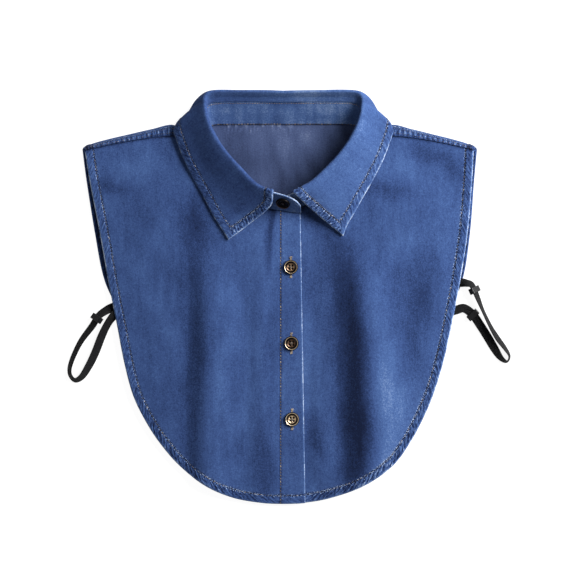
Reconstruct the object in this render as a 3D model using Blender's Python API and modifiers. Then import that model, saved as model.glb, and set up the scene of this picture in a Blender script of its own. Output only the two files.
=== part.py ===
"""Detachable denim shirt collar with a button front, a back bib and elastic side straps.

It lies on its back with the fronts up. X runs across the shoulders, Y towards the
back of the neck, Z up. The origin is the resting point under the back bib.
"""
import math
from collections import namedtuple

import bmesh
import bpy
from mathutils import Vector

# Driving dimensions, in metres
BIB_WIDTH = 0.364
BIB_LENGTH = 0.3235
BACK_SHORTER = 0.009
NECK_WIDTH = 0.142
NECK_DEPTH = 0.0813
NECK_ABOVE_SHOULDER = 0.0245
STAND_HEIGHT = 0.0225
ROLL_HEIGHT = 0.010
LEAF_FALL = 0.044
PLACKET_LAP_NECK = 0.0155
PLACKET_LAP_HEM = 0.020
UNDERLAP = 0.003
SHOULDER_TURN = 0.0105
SHOULDER_BOW = 0.0038

CLOTH = 0.0012
STAND_CLOTH = 0.0020
LEAF_CLOTH = 0.0018
GAP = 0.0003
BODY_SPACE = 0.0044
FRONT_CROWN = 0.0030
NECK_RISE = 0.0020
FOLD_HEIGHT = 0.0050
LEAF_HEIGHT = 0.0286
PLACKET_EASE = 0.0025
TUCK_EASE = 0.0002
FLOOR_EASE = 0.00005

BUTTON_DIAMETER = 0.0132
BUTTON_THICKNESS = 0.0025
BUTTON_RIM = 0.0014
BUTTON_RECESS = 0.0009
BUTTON_ROUND = 0.0004
THREAD_HOLE = 0.0017
THREAD_HOLE_SPACING = 0.0034
BUTTON_DROP = 0.0496
BUTTON_PITCH = 0.0695

STRAP_WIDTH = 0.008
STRAP_THICKNESS = 0.001
STRAP_REACH = 0.060
SLIDER_LENGTH = 0.0055
SLIDER_WALL = 0.0011

# Shares and places that follow from the driving dimensions
HALF_WIDTH = BIB_WIDTH / 2
SHOULDER_Y = 0.428 * BIB_LENGTH
NECK_Y = SHOULDER_Y + NECK_ABOVE_SHOULDER
NECK_HALF = NECK_WIDTH / 2
LOW = CLOTH / 2
FRONT_LEVEL = CLOTH + BODY_SPACE + CLOTH / 2
TUCKED_LEVEL = LEAF_CLOTH + 2 * GAP + CLOTH / 2 + TUCK_EASE
UNDER_DROP = STAND_CLOTH + GAP
LEAF_LOWEST = LEAF_CLOTH / 2 + FLOOR_EASE
LEFT, RIGHT = -1, 1


def table(columns, *rows):
    """Rows of numbers whose columns have names."""
    row_type = namedtuple("Row", columns)
    return tuple(row_type(*row) for row in rows)


# Neck seam, from the lapped end at the front round to the back
RING = table(
    "place side down lift lean",
    ("lap", -0.225, 1.004, 1.00, 32),
    ("front", 0.000, 0.976, 1.00, 36),
    ("front quarter", 0.320, 0.918, 0.98, 46),
    ("under the point", 0.550, 0.740, 0.93, 50),
    ("side front", 0.775, 0.518, 0.85, 52),
    ("side", 0.915, 0.318, 0.72, 54),
    ("shoulder", 0.985, 0.130, 0.50, 56),
    ("corner", 0.930, 0.015, 0.12, 58),
    ("back quarter", 0.500, 0.000, 0.00, 58),
    ("back", 0.000, 0.000, 0.00, 58),
)
LAST = len(RING) - 1
SHOULDER_STATION = 6.0

# Outline of the bibs: shares of their length and of half the width
OUTLINE = table(
    "down front_left front_right back_left back_right",
    (0.000, 1.000, 0.957, 1.014, 0.976),
    (0.088, 0.975, 0.949, 0.994, 0.962),
    (0.236, 0.924, 0.926, 0.953, 0.942),
    (0.373, 0.881, 0.888, 0.906, 0.905),
    (0.486, 0.841, 0.849, 0.822, 0.828),
    (0.595, 0.804, 0.806, 0.777, 0.779),
    (0.687, 0.761, 0.756, 0.731, 0.728),
    (0.755, 0.705, 0.705, 0.673, 0.673),
    (0.823, 0.629, 0.640, 0.596, 0.604),
    (0.892, 0.523, 0.548, 0.488, 0.508),
    (0.949, 0.390, 0.401, 0.355, 0.362),
    (0.983, 0.250, 0.240, 0.215, 0.208),
    (0.997, 0.110, 0.110, 0.090, 0.090),
    (1.000, 0.000, 0.000, 0.000, 0.000),
)

# Long soft ridges pressed in the fronts: steep towards -X, gentle towards +X
FOLDS = table(
    "top_x middle_x low_x top low steep gentle height",
    (-0.410, -0.375, -0.400, 0.25, 1.05, 0.110, 0.230, 0.85),
    (0.360, 0.410, 0.430, 0.22, 1.10, 0.165, 0.270, 1.00),
    (0.190, 0.185, 0.180, 0.60, 0.98, 0.070, 0.090, 0.20),
    (-0.130, -0.120, -0.110, 0.25, 1.10, 0.080, 0.070, 0.16),
)

# Fold that the back's shoulder turns forward, from the neck to the tip
TURN = table(
    "out width",
    (0.00, 0.82),
    (0.20, 0.70),
    (0.29, 0.97),
    (0.42, 0.74),
    (0.60, 0.48),
    (0.80, 0.30),
    (1.00, 0.22),
)

# The leaf, from its front end to the middle of the back: the crest goes by the
# stand's top, and the lap, fall and edge go out from the crest by shares of the fall
LEAF_COLUMNS = ("station crest_out crest_back crest_up lap_out lap_down lap_z "
                "fall_out fall_down fall_z edge_out edge_down edge_z")
LEFT_END = (1.40, 0.05, -0.05, 0.30, 0.05, 0.27, 0.80, 0.44, 0.60, 0.460, 0.93, 0.970, 0.405)
RIGHT_END = (1.40, 0.05, -0.05, 0.30, 0.17, 0.16, 0.80, 0.54, 0.48, 0.460, 1.02, 0.880, 0.405)
LEAF_REST = (
    (2.00, 0.08, -0.05, 0.34, 0.12, 0.16, 0.83, 0.46, 0.46, 0.520, 0.85, 0.710, 0.395),
    (3.00, 0.10, -0.02, 0.36, 0.15, 0.15, 0.81, 0.44, 0.38, 0.540, 0.72, 0.620, 0.380),
    (4.00, 0.12, 0.02, 0.38, 0.16, 0.12, 0.80, 0.39, 0.29, 0.545, 0.62, 0.560, 0.365),
    (5.00, 0.14, 0.06, 0.42, 0.16, 0.08, 0.77, 0.38, 0.22, 0.540, 0.61, 0.490, 0.345),
    (5.60, 0.16, 0.30, 0.46, 0.17, 0.05, 0.74, 0.40, 0.20, 0.530, 0.635, 0.440, 0.340),
    (6.10, 0.20, 0.58, 0.50, 0.18, 0.05, 0.68, 0.44, 0.25, 0.480, 0.635, 0.500, 0.310),
    (6.28, 0.22, 0.68, 0.52, 0.17, 0.08, 0.58, 0.41, 0.28, 0.290, 0.500, 0.390, 0.085),
    (6.50, 0.22, 0.80, 0.54, 0.21, 0.10, 0.47, 0.30, 0.38, 0.090, 0.13, 0.740, 0.000),
    (7.00, 0.14, 0.93, 0.62, 0.10, 0.06, 0.33, 0.03, 0.43, 0.045, -0.12, 0.980, 0.000),
    (8.00, 0.00, 0.90, 0.62, 0.00, 0.06, 0.28, -0.01, 0.46, 0.042, -0.05, 1.040, 0.000),
    (9.00, 0.00, 0.84, 0.62, 0.00, 0.05, 0.28, 0.00, 0.46, 0.042, 0.00, 1.040, 0.000),
)
LEAF = {LEFT: table(LEAF_COLUMNS, LEFT_END, *LEAF_REST),
        RIGHT: table(LEAF_COLUMNS, RIGHT_END, *LEAF_REST)}

LEAF_ROOT = 0.42
LEAF_CROWDING = 1.15
TAB_CORNER = 0.68

# Elastic bands: shares of their reach out of and down from the anchor on the bib's
# edge, the lift of the middle line in strap thicknesses, and the roll in degrees
LEFT_BAND = table(
    "out down lift roll",
    (-0.16, -0.03, 1.3, 0),
    (0.00, 0.01, 1.3, 0),
    (0.13, 0.075, 1.8, 24),
    (0.235, 0.157, 2.3, 38),
    (0.325, 0.30, 2.0, 40),
    (0.51, 0.55, 0.4, 50),
    (0.645, 0.84, 0.0, 55),
    (0.675, 1.02, 0.0, 60),
    (0.60, 1.13, 0.0, 60),
    (0.49, 1.08, 0.0, 50),
    (0.375, 0.90, 0.0, 36),
    (0.28, 0.70, 0.0, 30),
    (0.195, 0.48, 0.2, 30),
    (0.115, 0.31, 1.0, 38),
    (0.04, 0.195, 2.3, 32),
    (-0.03, 0.12, 3.1, 10),
    (-0.11, 0.085, 3.3, 0),
    (-0.20, 0.07, 3.3, 0),
)
RIGHT_BAND = table(
    "out down lift roll",
    (-0.10, -0.34, 1.3, 0),
    (0.07, -0.335, 1.4, 0),
    (0.17, -0.325, 2.0, 34),
    (0.245, -0.305, 2.2, 45),
    (0.295, -0.220, 2.4, 49),
    (0.345, -0.10, 2.2, 54),
    (0.427, 0.10, 1.9, 66),
    (0.545, 0.345, 1.8, 62),
    (0.655, 0.525, 1.2, 54),
    (0.768, 0.675, 0.4, 62),
    (0.832, 0.790, 0.0, 73),
    (0.792, 0.876, 0.0, 75),
    (0.695, 0.812, 0.0, 54),
    (0.60, 0.665, 0.0, 26),
    (0.50, 0.495, 0.3, 14),
    (0.398, 0.335, 1.2, 12),
    (0.275, 0.16, 2.1, 12),
    (0.14, 0.06, 2.3, 10),
    (0.02, 0.085, 2.8, 4),
    (-0.10, 0.12, 3.2, 0),
    (-0.20, 0.14, 3.2, 0),
)
LEFT_ANCHOR = 0.440
RIGHT_ANCHOR = 0.435
LEFT_SLIDER_AT = 3 / 16
KEEPER_AT = 4 / 20
RIGHT_SLIDER_AT = 16 / 20

# Shares that shape the soft parts
UNDER_REACH = 1.4
FRONT_RUNS_LEVEL = 0.7
CROWN_STARTS = 0.25
BOW_ENDS = 0.15
TURN_BLEND = 5.0
TUCK_REACH = 1.15
TUCK_RAMP = 0.6
TUCK_HALF = 1.32
TUCK_SIDE_RAMP = 0.5
FOLD_TOP_RAMP = 0.22
FOLD_LOW_RAMP = 0.10
STAND_CROWDING = 1.25
TAB_BUTTON_STATION = 1.0
TAB_BUTTON_HEIGHT = 0.6

COLLECTION = bpy.data.collections.new("detachable_collar")
CUTTERS = bpy.data.collections.new("cutters")


def clear_scene():
    """Take every object of the start-up scene away."""
    for thing in list(bpy.data.objects):
        bpy.data.objects.remove(thing, do_unlink=True)
    bpy.context.scene.collection.children.link(COLLECTION)
    bpy.context.scene.collection.children.link(CUTTERS)


def smooth(share):
    """Ease from 0 to 1."""
    share = min(max(share, 0.0), 1.0)
    return share * share * (3 - 2 * share)


def mix(a, b, share):
    """Number between a and b."""
    return a + (b - a) * share


def spline(rows, place):
    """Row of numbers on the smooth curve through rows, at place 0 to len - 1."""
    last = len(rows) - 1
    first = min(max(int(place), 0), last - 1)
    f = place - first
    near = [rows[min(max(first + step, 0), last)] for step in (-1, 0, 1, 2)]
    return [0.5 * (2 * b + (c - a) * f + (2 * a - 5 * b + 4 * c - d) * f * f
                   + (3 * b - a - 3 * c + d) * f ** 3)
            for a, b, c, d in zip(*near)]


def along(points, share):
    """Point at a share of the length of a chain of points."""
    steps = [(b - a).length for a, b in zip(points, points[1:])]
    left = share * sum(steps)
    for step, a, b in zip(steps, points, points[1:]):
        if left <= step:
            return a.lerp(b, left / step)
        left -= step
    return points[-1].copy()


def under(x):
    """How far the left half passes under the right one, 0 to 1."""
    lap = PLACKET_LAP_HEM + PLACKET_EASE
    return 1 - smooth((x - lap) / (UNDER_REACH * lap))


def seam(side, station):
    """Neck seam on one side: place, and the lean of the stand from upright."""
    across, down, lift, lean = spline([row[1:] for row in RING], station)
    if side == RIGHT and station < 2:
        other = station_at(LEFT, across * NECK_HALF)
        beside = 1 - smooth((across * NECK_HALF + UNDERLAP) / (PLACKET_LAP_HEM + UNDERLAP))
        _, lapped_down, _, lapped_lean = spline([row[1:] for row in RING], other)
        down, lean = mix(down, lapped_down, beside), mix(lean, lapped_lean, beside)
    front = FRONT_LEVEL + NECK_RISE
    place = Vector((side * across * NECK_HALF, NECK_Y - down * NECK_DEPTH,
                    mix(TUCKED_LEVEL, front, max(lift, 0.0))))
    return place, math.radians(lean)


def stand_point(side, station, height):
    """Middle of the neck band at a share of its height."""
    place, lean = seam(side, station)
    rise = Vector((0, math.sin(lean), math.cos(lean)))
    outward = Vector((0, -math.cos(lean), math.sin(lean)))
    place = place + Vector((0, 0, CLOTH / 2 + GAP)) + rise * (GAP + height * STAND_HEIGHT)
    if side == RIGHT and station < 5:
        place -= outward * UNDER_DROP * under(place.x)
    return place


def station_at(side, x):
    """Station of the front seam whose place has the given x."""
    low, high = 0.0, 5.0
    for _ in range(40):
        middle = (low + high) / 2
        if side * seam(side, middle)[0].x < side * x:
            low = middle
        else:
            high = middle
    return low


def raised(x, y):
    """Level of the back bib: flat on the floor, and over the leaf tucked under it."""
    up = smooth((y - (NECK_Y - TUCK_REACH * LEAF_FALL)) / (TUCK_RAMP * LEAF_FALL))
    inside = 1 - smooth((abs(x) - TUCK_HALF * NECK_HALF) / (TUCK_SIDE_RAMP * NECK_HALF))
    return mix(LOW, TUCKED_LEVEL, up * inside)


def outline(side, panel):
    """Chain of points down one side of a bib, from shoulder tip to past the middle."""
    names = {LEFT: panel + "_left", RIGHT: panel + "_right"}
    own, other = names[side], names[-side]
    length = BIB_LENGTH if panel == "front" else BIB_LENGTH - BACK_SHORTER
    rows = [(side * getattr(row, own) * HALF_WIDTH, SHOULDER_Y - row.down * length)
            for row in OUTLINE]
    rows += [(-side * getattr(row, other) * HALF_WIDTH, SHOULDER_Y - row.down * length)
             for row in OUTLINE[-2:-4:-1]]
    chain = []
    for step in range((len(rows) - 1) * 8 + 1):
        x, y = spline(rows, step / 8)
        chain.append(Vector((x, y, 0)))
    return chain


def cut_at(chain, side, x):
    """Chain of points that ends where it reaches x."""
    kept = []
    for point in chain:
        if side * point.x < side * x:
            before = kept[-1]
            share = (x - before.x) / (point.x - before.x)
            kept.append(before.lerp(point, share))
            return kept
        kept.append(point)
    return kept


def fold_height(x, y):
    """Height of the pressed ridges over the smooth front."""
    down = (SHOULDER_Y - y) / BIB_LENGTH
    across = x / HALF_WIDTH
    total = 0.0
    for fold in FOLDS:
        line = ((fold.top_x,), (fold.middle_x,), (fold.low_x,))
        away = across - spline(line, min(max(2 * down, 0.0), 2.0))[0]
        width = fold.steep if away < 0 else fold.gentle
        bell = math.cos(min(abs(away) / width, 1.0) * math.pi / 2) ** 2
        window = (smooth((down - fold.top) / FOLD_TOP_RAMP)
                  * smooth((fold.low - down) / FOLD_LOW_RAMP))
        total += fold.height * bell * window
    return total * FOLD_HEIGHT


FRONT_EDGE_X = {LEFT: (PLACKET_LAP_NECK, PLACKET_LAP_HEM), RIGHT: (-UNDERLAP, -UNDERLAP)}


def front_curves(side):
    """Neck curve and outer curve of a front, both from the shoulder to the placket."""
    neck_x, hem_x = FRONT_EDGE_X[side]
    first = station_at(side, neck_x)
    inner = [seam(side, mix(SHOULDER_STATION, first, k / 40))[0] for k in range(41)]
    outer = cut_at(outline(side, "front"), side, hem_x)
    return inner, outer


def front_point(side, inner, outer, s, r):
    """Point of a front: s from the shoulder to the placket, r from neck to hem."""
    near = along(inner, s)
    far = along(outer, s)
    x = mix(near.x, far.x, r)
    y = mix(near.y, far.y, r)
    y += SHOULDER_BOW * 4 * r * (1 - r) * (1 - smooth(s / BOW_ENDS))
    crown = FRONT_CROWN * math.sin(math.pi * r) * smooth(s / CROWN_STARTS)
    z = mix(near.z, FRONT_LEVEL, smooth(r / FRONT_RUNS_LEVEL)) + crown + fold_height(x, y)
    if side == RIGHT:
        z -= UNDER_DROP * under(x)
    return Vector((x, y, z))


def shade(name, color, roughness, metallic=0.0):
    """Plain material."""
    material = bpy.data.materials.new(name)
    material.use_nodes = True
    shader = material.node_tree.nodes["Principled BSDF"]
    shader.inputs["Base Color"].default_value = (*color, 1)
    shader.inputs["Roughness"].default_value = roughness
    shader.inputs["Metallic"].default_value = metallic
    return material


def finish(name, mesh, material, smooth_angle=50):
    """Object of a mesh, shaded smooth, in the collar's collection."""
    mesh.materials.append(material)
    mesh.shade_smooth()
    mesh.set_sharp_from_angle(angle=math.radians(smooth_angle))
    thing = bpy.data.objects.new(name, mesh)
    COLLECTION.objects.link(thing)
    return thing


def sheet(name, lines, thickness, material):
    """Cloth from lines of points: an open surface made thick by Solidify."""
    mesh = bpy.data.meshes.new(name)
    form = bmesh.new()
    grid = [[form.verts.new(point) for point in line] for line in lines]
    for line, following in zip(grid, grid[1:]):
        for a, b, c, d in zip(line, following, following[1:], line[1:]):
            form.faces.new((a, b, c, d))
    bmesh.ops.recalc_face_normals(form, faces=form.faces)
    bmesh.ops.triangulate(form, faces=form.faces)
    form.to_mesh(mesh)
    form.free()
    thing = finish(name, mesh, material)
    solid = thing.modifiers.new("thickness", "SOLIDIFY")
    solid.thickness = thickness
    solid.offset = 0
    solid.use_rim = True
    return thing


def make_front(name, side, material, columns=27, rows=11):
    """One front bib."""
    inner, outer = front_curves(side)
    seam_gap = Vector((0, -GAP / 2, 0))
    lines = []
    for i in range(columns + 1):
        line = [front_point(side, inner, outer, i / columns, j / rows) for j in range(rows + 1)]
        lines.append([point + seam_gap for point in line] if i == 0 else line)
    return sheet(name, lines, CLOTH, material)


def turn_width(r):
    """Width of the turned fold at a share of the way from the neck to the tip."""
    place = 0
    while place < len(TURN) - 2 and r > TURN[place + 1].out:
        place += 1
    near, far = TURN[place], TURN[place + 1]
    share = (r - near.out) / (far.out - near.out)
    return spline([row[1:] for row in TURN], place + share)[0] * SHOULDER_TURN


def turn_lines(side, rows, turns=5):
    """Lines of the back bib's shoulder, folded forward to the shoulder seam."""
    inner, outer = front_curves(side)
    tip_x = outline(side, "back")[0].x
    lines = []
    for k in range(turns + 1):
        angle = math.pi * k / turns
        line = []
        for j in range(rows + 1):
            r = j / rows
            top = front_point(side, inner, outer, 0, r)
            floor = raised(top.x, top.y)
            low_share = (1 - math.cos(angle)) / 2
            x = mix(top.x, mix(top.x, tip_x, r ** 3), low_share)
            line.append(Vector((x, top.y + GAP + turn_width(r) * math.sin(angle),
                                mix(top.z, floor, low_share))))
        corner = seam(side, SHOULDER_STATION + k / turns)[0] - line[0]
        lines.append([point + corner * (1 - smooth(TURN_BLEND * j / rows))
                      for j, point in enumerate(line)])
    return lines


def make_back(material, columns=36, rows=11):
    """Back bib with both shoulders turned forward."""
    left = turn_lines(LEFT, rows)
    right = turn_lines(RIGHT, rows)
    corner = SHOULDER_STATION + 1
    neck = [seam(LEFT, mix(corner, LAST, k / 20))[0] for k in range(21)]
    neck += [seam(RIGHT, mix(LAST, corner, k / 20))[0] for k in range(1, 21)]
    down_left = outline(LEFT, "back")
    middle = len(OUTLINE) * 8 - 7
    hem = [left[-1][-1]] + down_left[1:middle] + outline(RIGHT, "back")[middle - 2:0:-1]
    hem.append(right[-1][-1])
    flat = []
    for i in range(1, columns):
        near = along(neck, i / columns)
        far = along(hem, i / columns)
        line = []
        for j in range(rows + 1):
            x = mix(near.x, far.x, j / rows)
            y = mix(near.y, far.y, j / rows)
            line.append(Vector((x, y, raised(x, y))))
        flat.append(line)
    return sheet("back_panel", left + flat + right[::-1], CLOTH, material)


def make_stand(material, columns=26, rows=3):
    """Neck band, its right end lapped over the left one as a rounded tab."""
    ends = {LEFT: 0.0, RIGHT: station_at(RIGHT, -UNDERLAP)}
    corner = TAB_CORNER * STAND_HEIGHT
    lines = []
    for side in (LEFT, RIGHT):
        first = ends[side]
        end_x = seam(side, first)[0].x
        half = []
        for i in range(columns + 1):
            share = i / columns
            station = mix(first, LAST, share ** STAND_CROWDING)
            inset = min(abs(seam(side, station)[0].x - end_x) / corner, 1.0)
            if station > 2:
                inset = 1.0
            top = 1 - (1 - math.sqrt(1 - (1 - inset) ** 2)) * corner / STAND_HEIGHT
            half.append([stand_point(side, station, top * j / rows) for j in range(rows + 1)])
        lines += half if side == LEFT else half[-2::-1]
    return sheet("collar_stand", lines, STAND_CLOTH, material)


def leaf_section(side, row):
    """Six points of the leaf's section: join, root, crest, lap, fall and edge."""
    lean = seam(side, row.station)[1]
    rise = Vector((0, math.sin(lean), math.cos(lean)))
    join = stand_point(side, row.station, 1) + (rise + Vector((0, 0, 1))) * 2 * GAP
    roll = Vector((side * row.crest_out, row.crest_back, row.crest_up))
    crest = join + roll * ROLL_HEIGHT
    root = join + rise * LEAF_ROOT * (crest - join).length
    points = [join, root, crest]
    for out, down, z in ((row.lap_out, row.lap_down, row.lap_z),
                         (row.fall_out, row.fall_down, row.fall_z),
                         (row.edge_out, row.edge_down, row.edge_z)):
        points.append(Vector((crest.x + side * out * LEAF_FALL, crest.y - down * LEAF_FALL,
                              max(z * LEAF_HEIGHT, LEAF_LOWEST))))
    return points


def make_leaf(material, columns=26, rows=13):
    """The fall of the collar with its two points."""
    lines = []
    for side in (LEFT, RIGHT):
        half = []
        leaf = LEAF[side]
        for i in range(columns + 1):
            row = leaf[0]._make(spline(leaf, (len(leaf) - 1) * i / columns))
            section = [tuple(point) for point in leaf_section(side, row)]
            line = [Vector(spline(section, 5 * (j / rows) ** LEAF_CROWDING))
                    for j in range(rows + 1)]
            for point in line:
                point.z = max(point.z, LEAF_LOWEST)
            half.append(line)
        lines += half if side == LEFT else half[-2::-1]
    return sheet("collar_leaf", lines, LEAF_CLOTH, material)


def make_button(name, centre, normal, material):
    """Round button with a rim, a shallow recess and four thread holes."""
    radius = BUTTON_DIAMETER / 2
    half = BUTTON_THICKNESS / 2
    inner = radius - BUTTON_RIM
    profile = ((0, half - BUTTON_RECESS), (inner - BUTTON_RECESS, half - BUTTON_RECESS),
               (inner, half), (radius - BUTTON_ROUND, half), (radius, half - 2 * BUTTON_ROUND),
               (radius - BUTTON_ROUND, -half), (0, -half))
    form = bmesh.new()
    verts = [form.verts.new((x, 0, z)) for x, z in profile]
    edges = [form.edges.new(pair) for pair in zip(verts, verts[1:])]
    bmesh.ops.spin(form, geom=verts + edges, axis=(0, 0, 1), cent=(0, 0, 0),
                   angle=2 * math.pi, steps=16, use_merge=True)
    bmesh.ops.remove_doubles(form, verts=form.verts, dist=0.00001)
    bmesh.ops.recalc_face_normals(form, faces=form.faces)
    mesh = bpy.data.meshes.new(name)
    form.to_mesh(mesh)
    form.free()
    thing = finish(name, mesh, material, 35)
    holes = bmesh.new()
    for turn in range(4):
        angle = math.pi / 4 + turn * math.pi / 2
        reach = THREAD_HOLE_SPACING / math.sqrt(2)
        made = bmesh.ops.create_cone(holes, cap_ends=True, segments=8, radius1=THREAD_HOLE / 2,
                                     radius2=THREAD_HOLE / 2, depth=2 * BUTTON_THICKNESS)
        bmesh.ops.translate(holes, verts=made["verts"],
                            vec=(reach * math.cos(angle), reach * math.sin(angle), 0))
    cutter_mesh = bpy.data.meshes.new(name + "_holes")
    holes.to_mesh(cutter_mesh)
    holes.free()
    cutter = bpy.data.objects.new(name + "_holes", cutter_mesh)
    cutter.hide_render = True
    cutter.display_type = "WIRE"
    CUTTERS.objects.link(cutter)
    cut = thing.modifiers.new("thread holes", "BOOLEAN")
    cut.object = cutter
    cut.operation = "DIFFERENCE"
    cut.solver = "EXACT"
    turn = Vector((0, 0, 1)).rotation_difference(normal)
    for placed in (thing, cutter):
        placed.rotation_mode = "QUATERNION"
        placed.rotation_quaternion = turn
        placed.location = centre
    return thing


def make_buttons(material):
    """One button on the tab and three down the placket."""
    station, height = TAB_BUTTON_STATION, TAB_BUTTON_HEIGHT
    seat = stand_point(LEFT, station, height)
    across = stand_point(LEFT, station - 0.3, height) - stand_point(LEFT, station + 0.3, height)
    rise = stand_point(LEFT, station, 1) - stand_point(LEFT, station, 0)
    normal = across.cross(rise).normalized()
    lift = STAND_CLOTH / 2 + 2 * GAP + BUTTON_THICKNESS / 2
    make_button("button_collar", seat + normal * lift, normal, material)
    inner, outer = front_curves(LEFT)
    neck, hem = front_point(LEFT, inner, outer, 1, 0), front_point(LEFT, inner, outer, 1, 1)
    radius = BUTTON_DIAMETER / 2
    for number, name in enumerate(("button_upper", "button_middle", "button_lower")):
        down = BUTTON_DROP + number * BUTTON_PITCH
        share = down / (neck.y - hem.y)
        edge_x = mix(neck.x, hem.x, share)
        x = (edge_x - UNDERLAP) / 2
        y = neck.y - down
        around = [surface_z(inner, outer, x + radius * a, y + radius * b)
                  for a, b in ((1, 0), (-1, 0), (0, 1), (0, -1))]
        middle = surface_z(inner, outer, x, y)
        normal = Vector((around[1] - around[0], around[3] - around[2], 2 * radius)).normalized()
        level = max(middle, sum(around) / 4)
        lift = CLOTH / 2 + 2 * GAP + BUTTON_THICKNESS / 2
        make_button(name, Vector((x, y, level)) + normal * lift, normal, material)


def surface_z(inner, outer, x, y):
    """Level of the upper front at a place beside the placket."""
    s, r = 0.95, 0.5
    for _ in range(30):
        point = front_point(LEFT, inner, outer, s, r)
        r = min(max(r + (point.y - y) / (inner[-1].y - outer[-1].y), 0), 1)
        s = min(max(s + (x - point.x) / BIB_LENGTH, 0), 1)
    return front_point(LEFT, inner, outer, s, r).z


def band_route(rows, side, anchor, steps=4):
    """Middle line and width direction of an elastic band, station by station."""
    width, thick = STRAP_WIDTH / 2, STRAP_THICKNESS / 2
    places = []
    rolls = []
    for k in range((len(rows) - 1) * steps + 1):
        out, down, lift, roll = spline(rows, k / steps)
        roll = math.radians(roll)
        level = GAP + width * math.sin(abs(roll)) + thick * math.cos(roll)
        places.append(Vector((anchor.x + side * out * STRAP_REACH,
                              anchor.y - down * STRAP_REACH,
                              level + max(lift, 0) * STRAP_THICKNESS)))
        rolls.append(roll)
    return places, rolls


def band_frame(places, rolls, side, k):
    """Direction, width direction and face direction of a band at one station."""
    before, after = places[max(k - 1, 0)], places[min(k + 1, len(places) - 1)]
    ahead = (after - before).normalized()
    flat = Vector((ahead.y, -ahead.x, 0)).normalized()
    up = flat.cross(ahead)
    across = flat * math.cos(rolls[k]) + up * math.sin(rolls[k]) * side
    face = across.cross(ahead).normalized()
    return ahead, across.normalized(), face


def anchor_point(side):
    """Place on the front's edge where a strap is sewn."""
    share = LEFT_ANCHOR if side == LEFT else RIGHT_ANCHOR
    for k in range((len(OUTLINE) - 1) * 8):
        row = OUTLINE[0]._make(spline(OUTLINE, k / 8))
        if row.down >= share:
            out = row.front_left if side == LEFT else row.front_right
            return Vector((side * out * HALF_WIDTH, SHOULDER_Y - share * BIB_LENGTH, 0))
    return Vector((side * HALF_WIDTH, SHOULDER_Y, 0))


def make_strap(name, side, rows, material):
    """Elastic band: its section carried along the route."""
    places, rolls = band_route(rows, side, anchor_point(side))
    width, thick = STRAP_WIDTH / 2, STRAP_THICKNESS / 2
    form = bmesh.new()
    rings = []
    for k, place in enumerate(places):
        _, across, face = band_frame(places, rolls, side, k)
        rings.append([form.verts.new(place + across * a * width + face * b * thick)
                      for a, b in ((-1, -1), (1, -1), (1, 1), (-1, 1))])
    for ring, following in zip(rings, rings[1:]):
        for i in range(4):
            j = (i + 1) % 4
            form.faces.new((ring[i], ring[j], following[j], following[i]))
    form.faces.new(rings[0])
    form.faces.new(rings[-1])
    bmesh.ops.recalc_face_normals(form, faces=form.faces)
    bmesh.ops.triangulate(form, faces=form.faces)
    mesh = bpy.data.meshes.new(name)
    form.to_mesh(mesh)
    form.free()
    return finish(name, mesh, material, 35)


def make_slider(name, side, rows, share, material):
    """Plastic slider: a rounded block with a slot that the band runs through."""
    places, rolls = band_route(rows, side, anchor_point(side))
    k = round(share * (len(places) - 1))
    ahead, across, face = band_frame(places, rolls, side, k)
    form = bmesh.new()
    clear = GAP + 0.15 * STRAP_THICKNESS
    outer = (STRAP_WIDTH + 2 * (clear + SLIDER_WALL), SLIDER_LENGTH,
             STRAP_THICKNESS + 2 * (2 * clear + SLIDER_WALL))
    slot = (STRAP_WIDTH + 2 * clear, 2 * SLIDER_LENGTH, STRAP_THICKNESS + 4 * clear)
    bmesh.ops.create_cube(form, size=1)
    bmesh.ops.scale(form, verts=form.verts, vec=outer)
    bmesh.ops.bevel(form, geom=form.edges[:], offset=0.3 * SLIDER_WALL, segments=2,
                    profile=0.5, affect="EDGES")
    mesh = bpy.data.meshes.new(name)
    form.to_mesh(mesh)
    form.free()
    thing = finish(name, mesh, material, 35)
    hole = bmesh.new()
    bmesh.ops.create_cube(hole, size=1)
    bmesh.ops.scale(hole, verts=hole.verts, vec=slot)
    hole_mesh = bpy.data.meshes.new(name + "_slot")
    hole.to_mesh(hole_mesh)
    hole.free()
    cutter = bpy.data.objects.new(name + "_slot", hole_mesh)
    cutter.hide_render = True
    cutter.display_type = "WIRE"
    CUTTERS.objects.link(cutter)
    cut = thing.modifiers.new("slot", "BOOLEAN")
    cut.object = cutter
    cut.operation = "DIFFERENCE"
    cut.solver = "EXACT"
    pose = Vector(across), Vector(ahead), Vector(across).cross(ahead)
    for placed in (thing, cutter):
        matrix = placed.matrix_world.to_3x3()
        for column, axis in enumerate(pose):
            matrix.col[column] = axis
        placed.matrix_world = matrix.to_4x4()
        placed.location = places[k]
    return thing


def build():
    """Make the whole collar."""
    clear_scene()
    denim = shade("denim", (0.045, 0.087, 0.235), 0.85)
    denim_back = shade("denim_back", (0.06, 0.09, 0.2), 0.9)
    brass = shade("antique_gold", (0.42, 0.28, 0.12), 0.35, 1.0)
    elastic = shade("black_elastic", (0.012, 0.012, 0.013), 0.7)
    plastic = shade("black_plastic", (0.02, 0.02, 0.021), 0.3)
    make_back(denim_back)
    make_front("front_right", LEFT, denim)
    make_front("front_left", RIGHT, denim)
    make_stand(denim)
    make_leaf(denim)
    make_buttons(brass)
    make_strap("strap_left", LEFT, LEFT_BAND, elastic)
    make_strap("strap_right", RIGHT, RIGHT_BAND, elastic)
    make_slider("slider_left", LEFT, LEFT_BAND, LEFT_SLIDER_AT, plastic)
    make_slider("keeper_right", RIGHT, RIGHT_BAND, KEEPER_AT, plastic)
    make_slider("slider_right", RIGHT, RIGHT_BAND, RIGHT_SLIDER_AT, plastic)


build()
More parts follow.
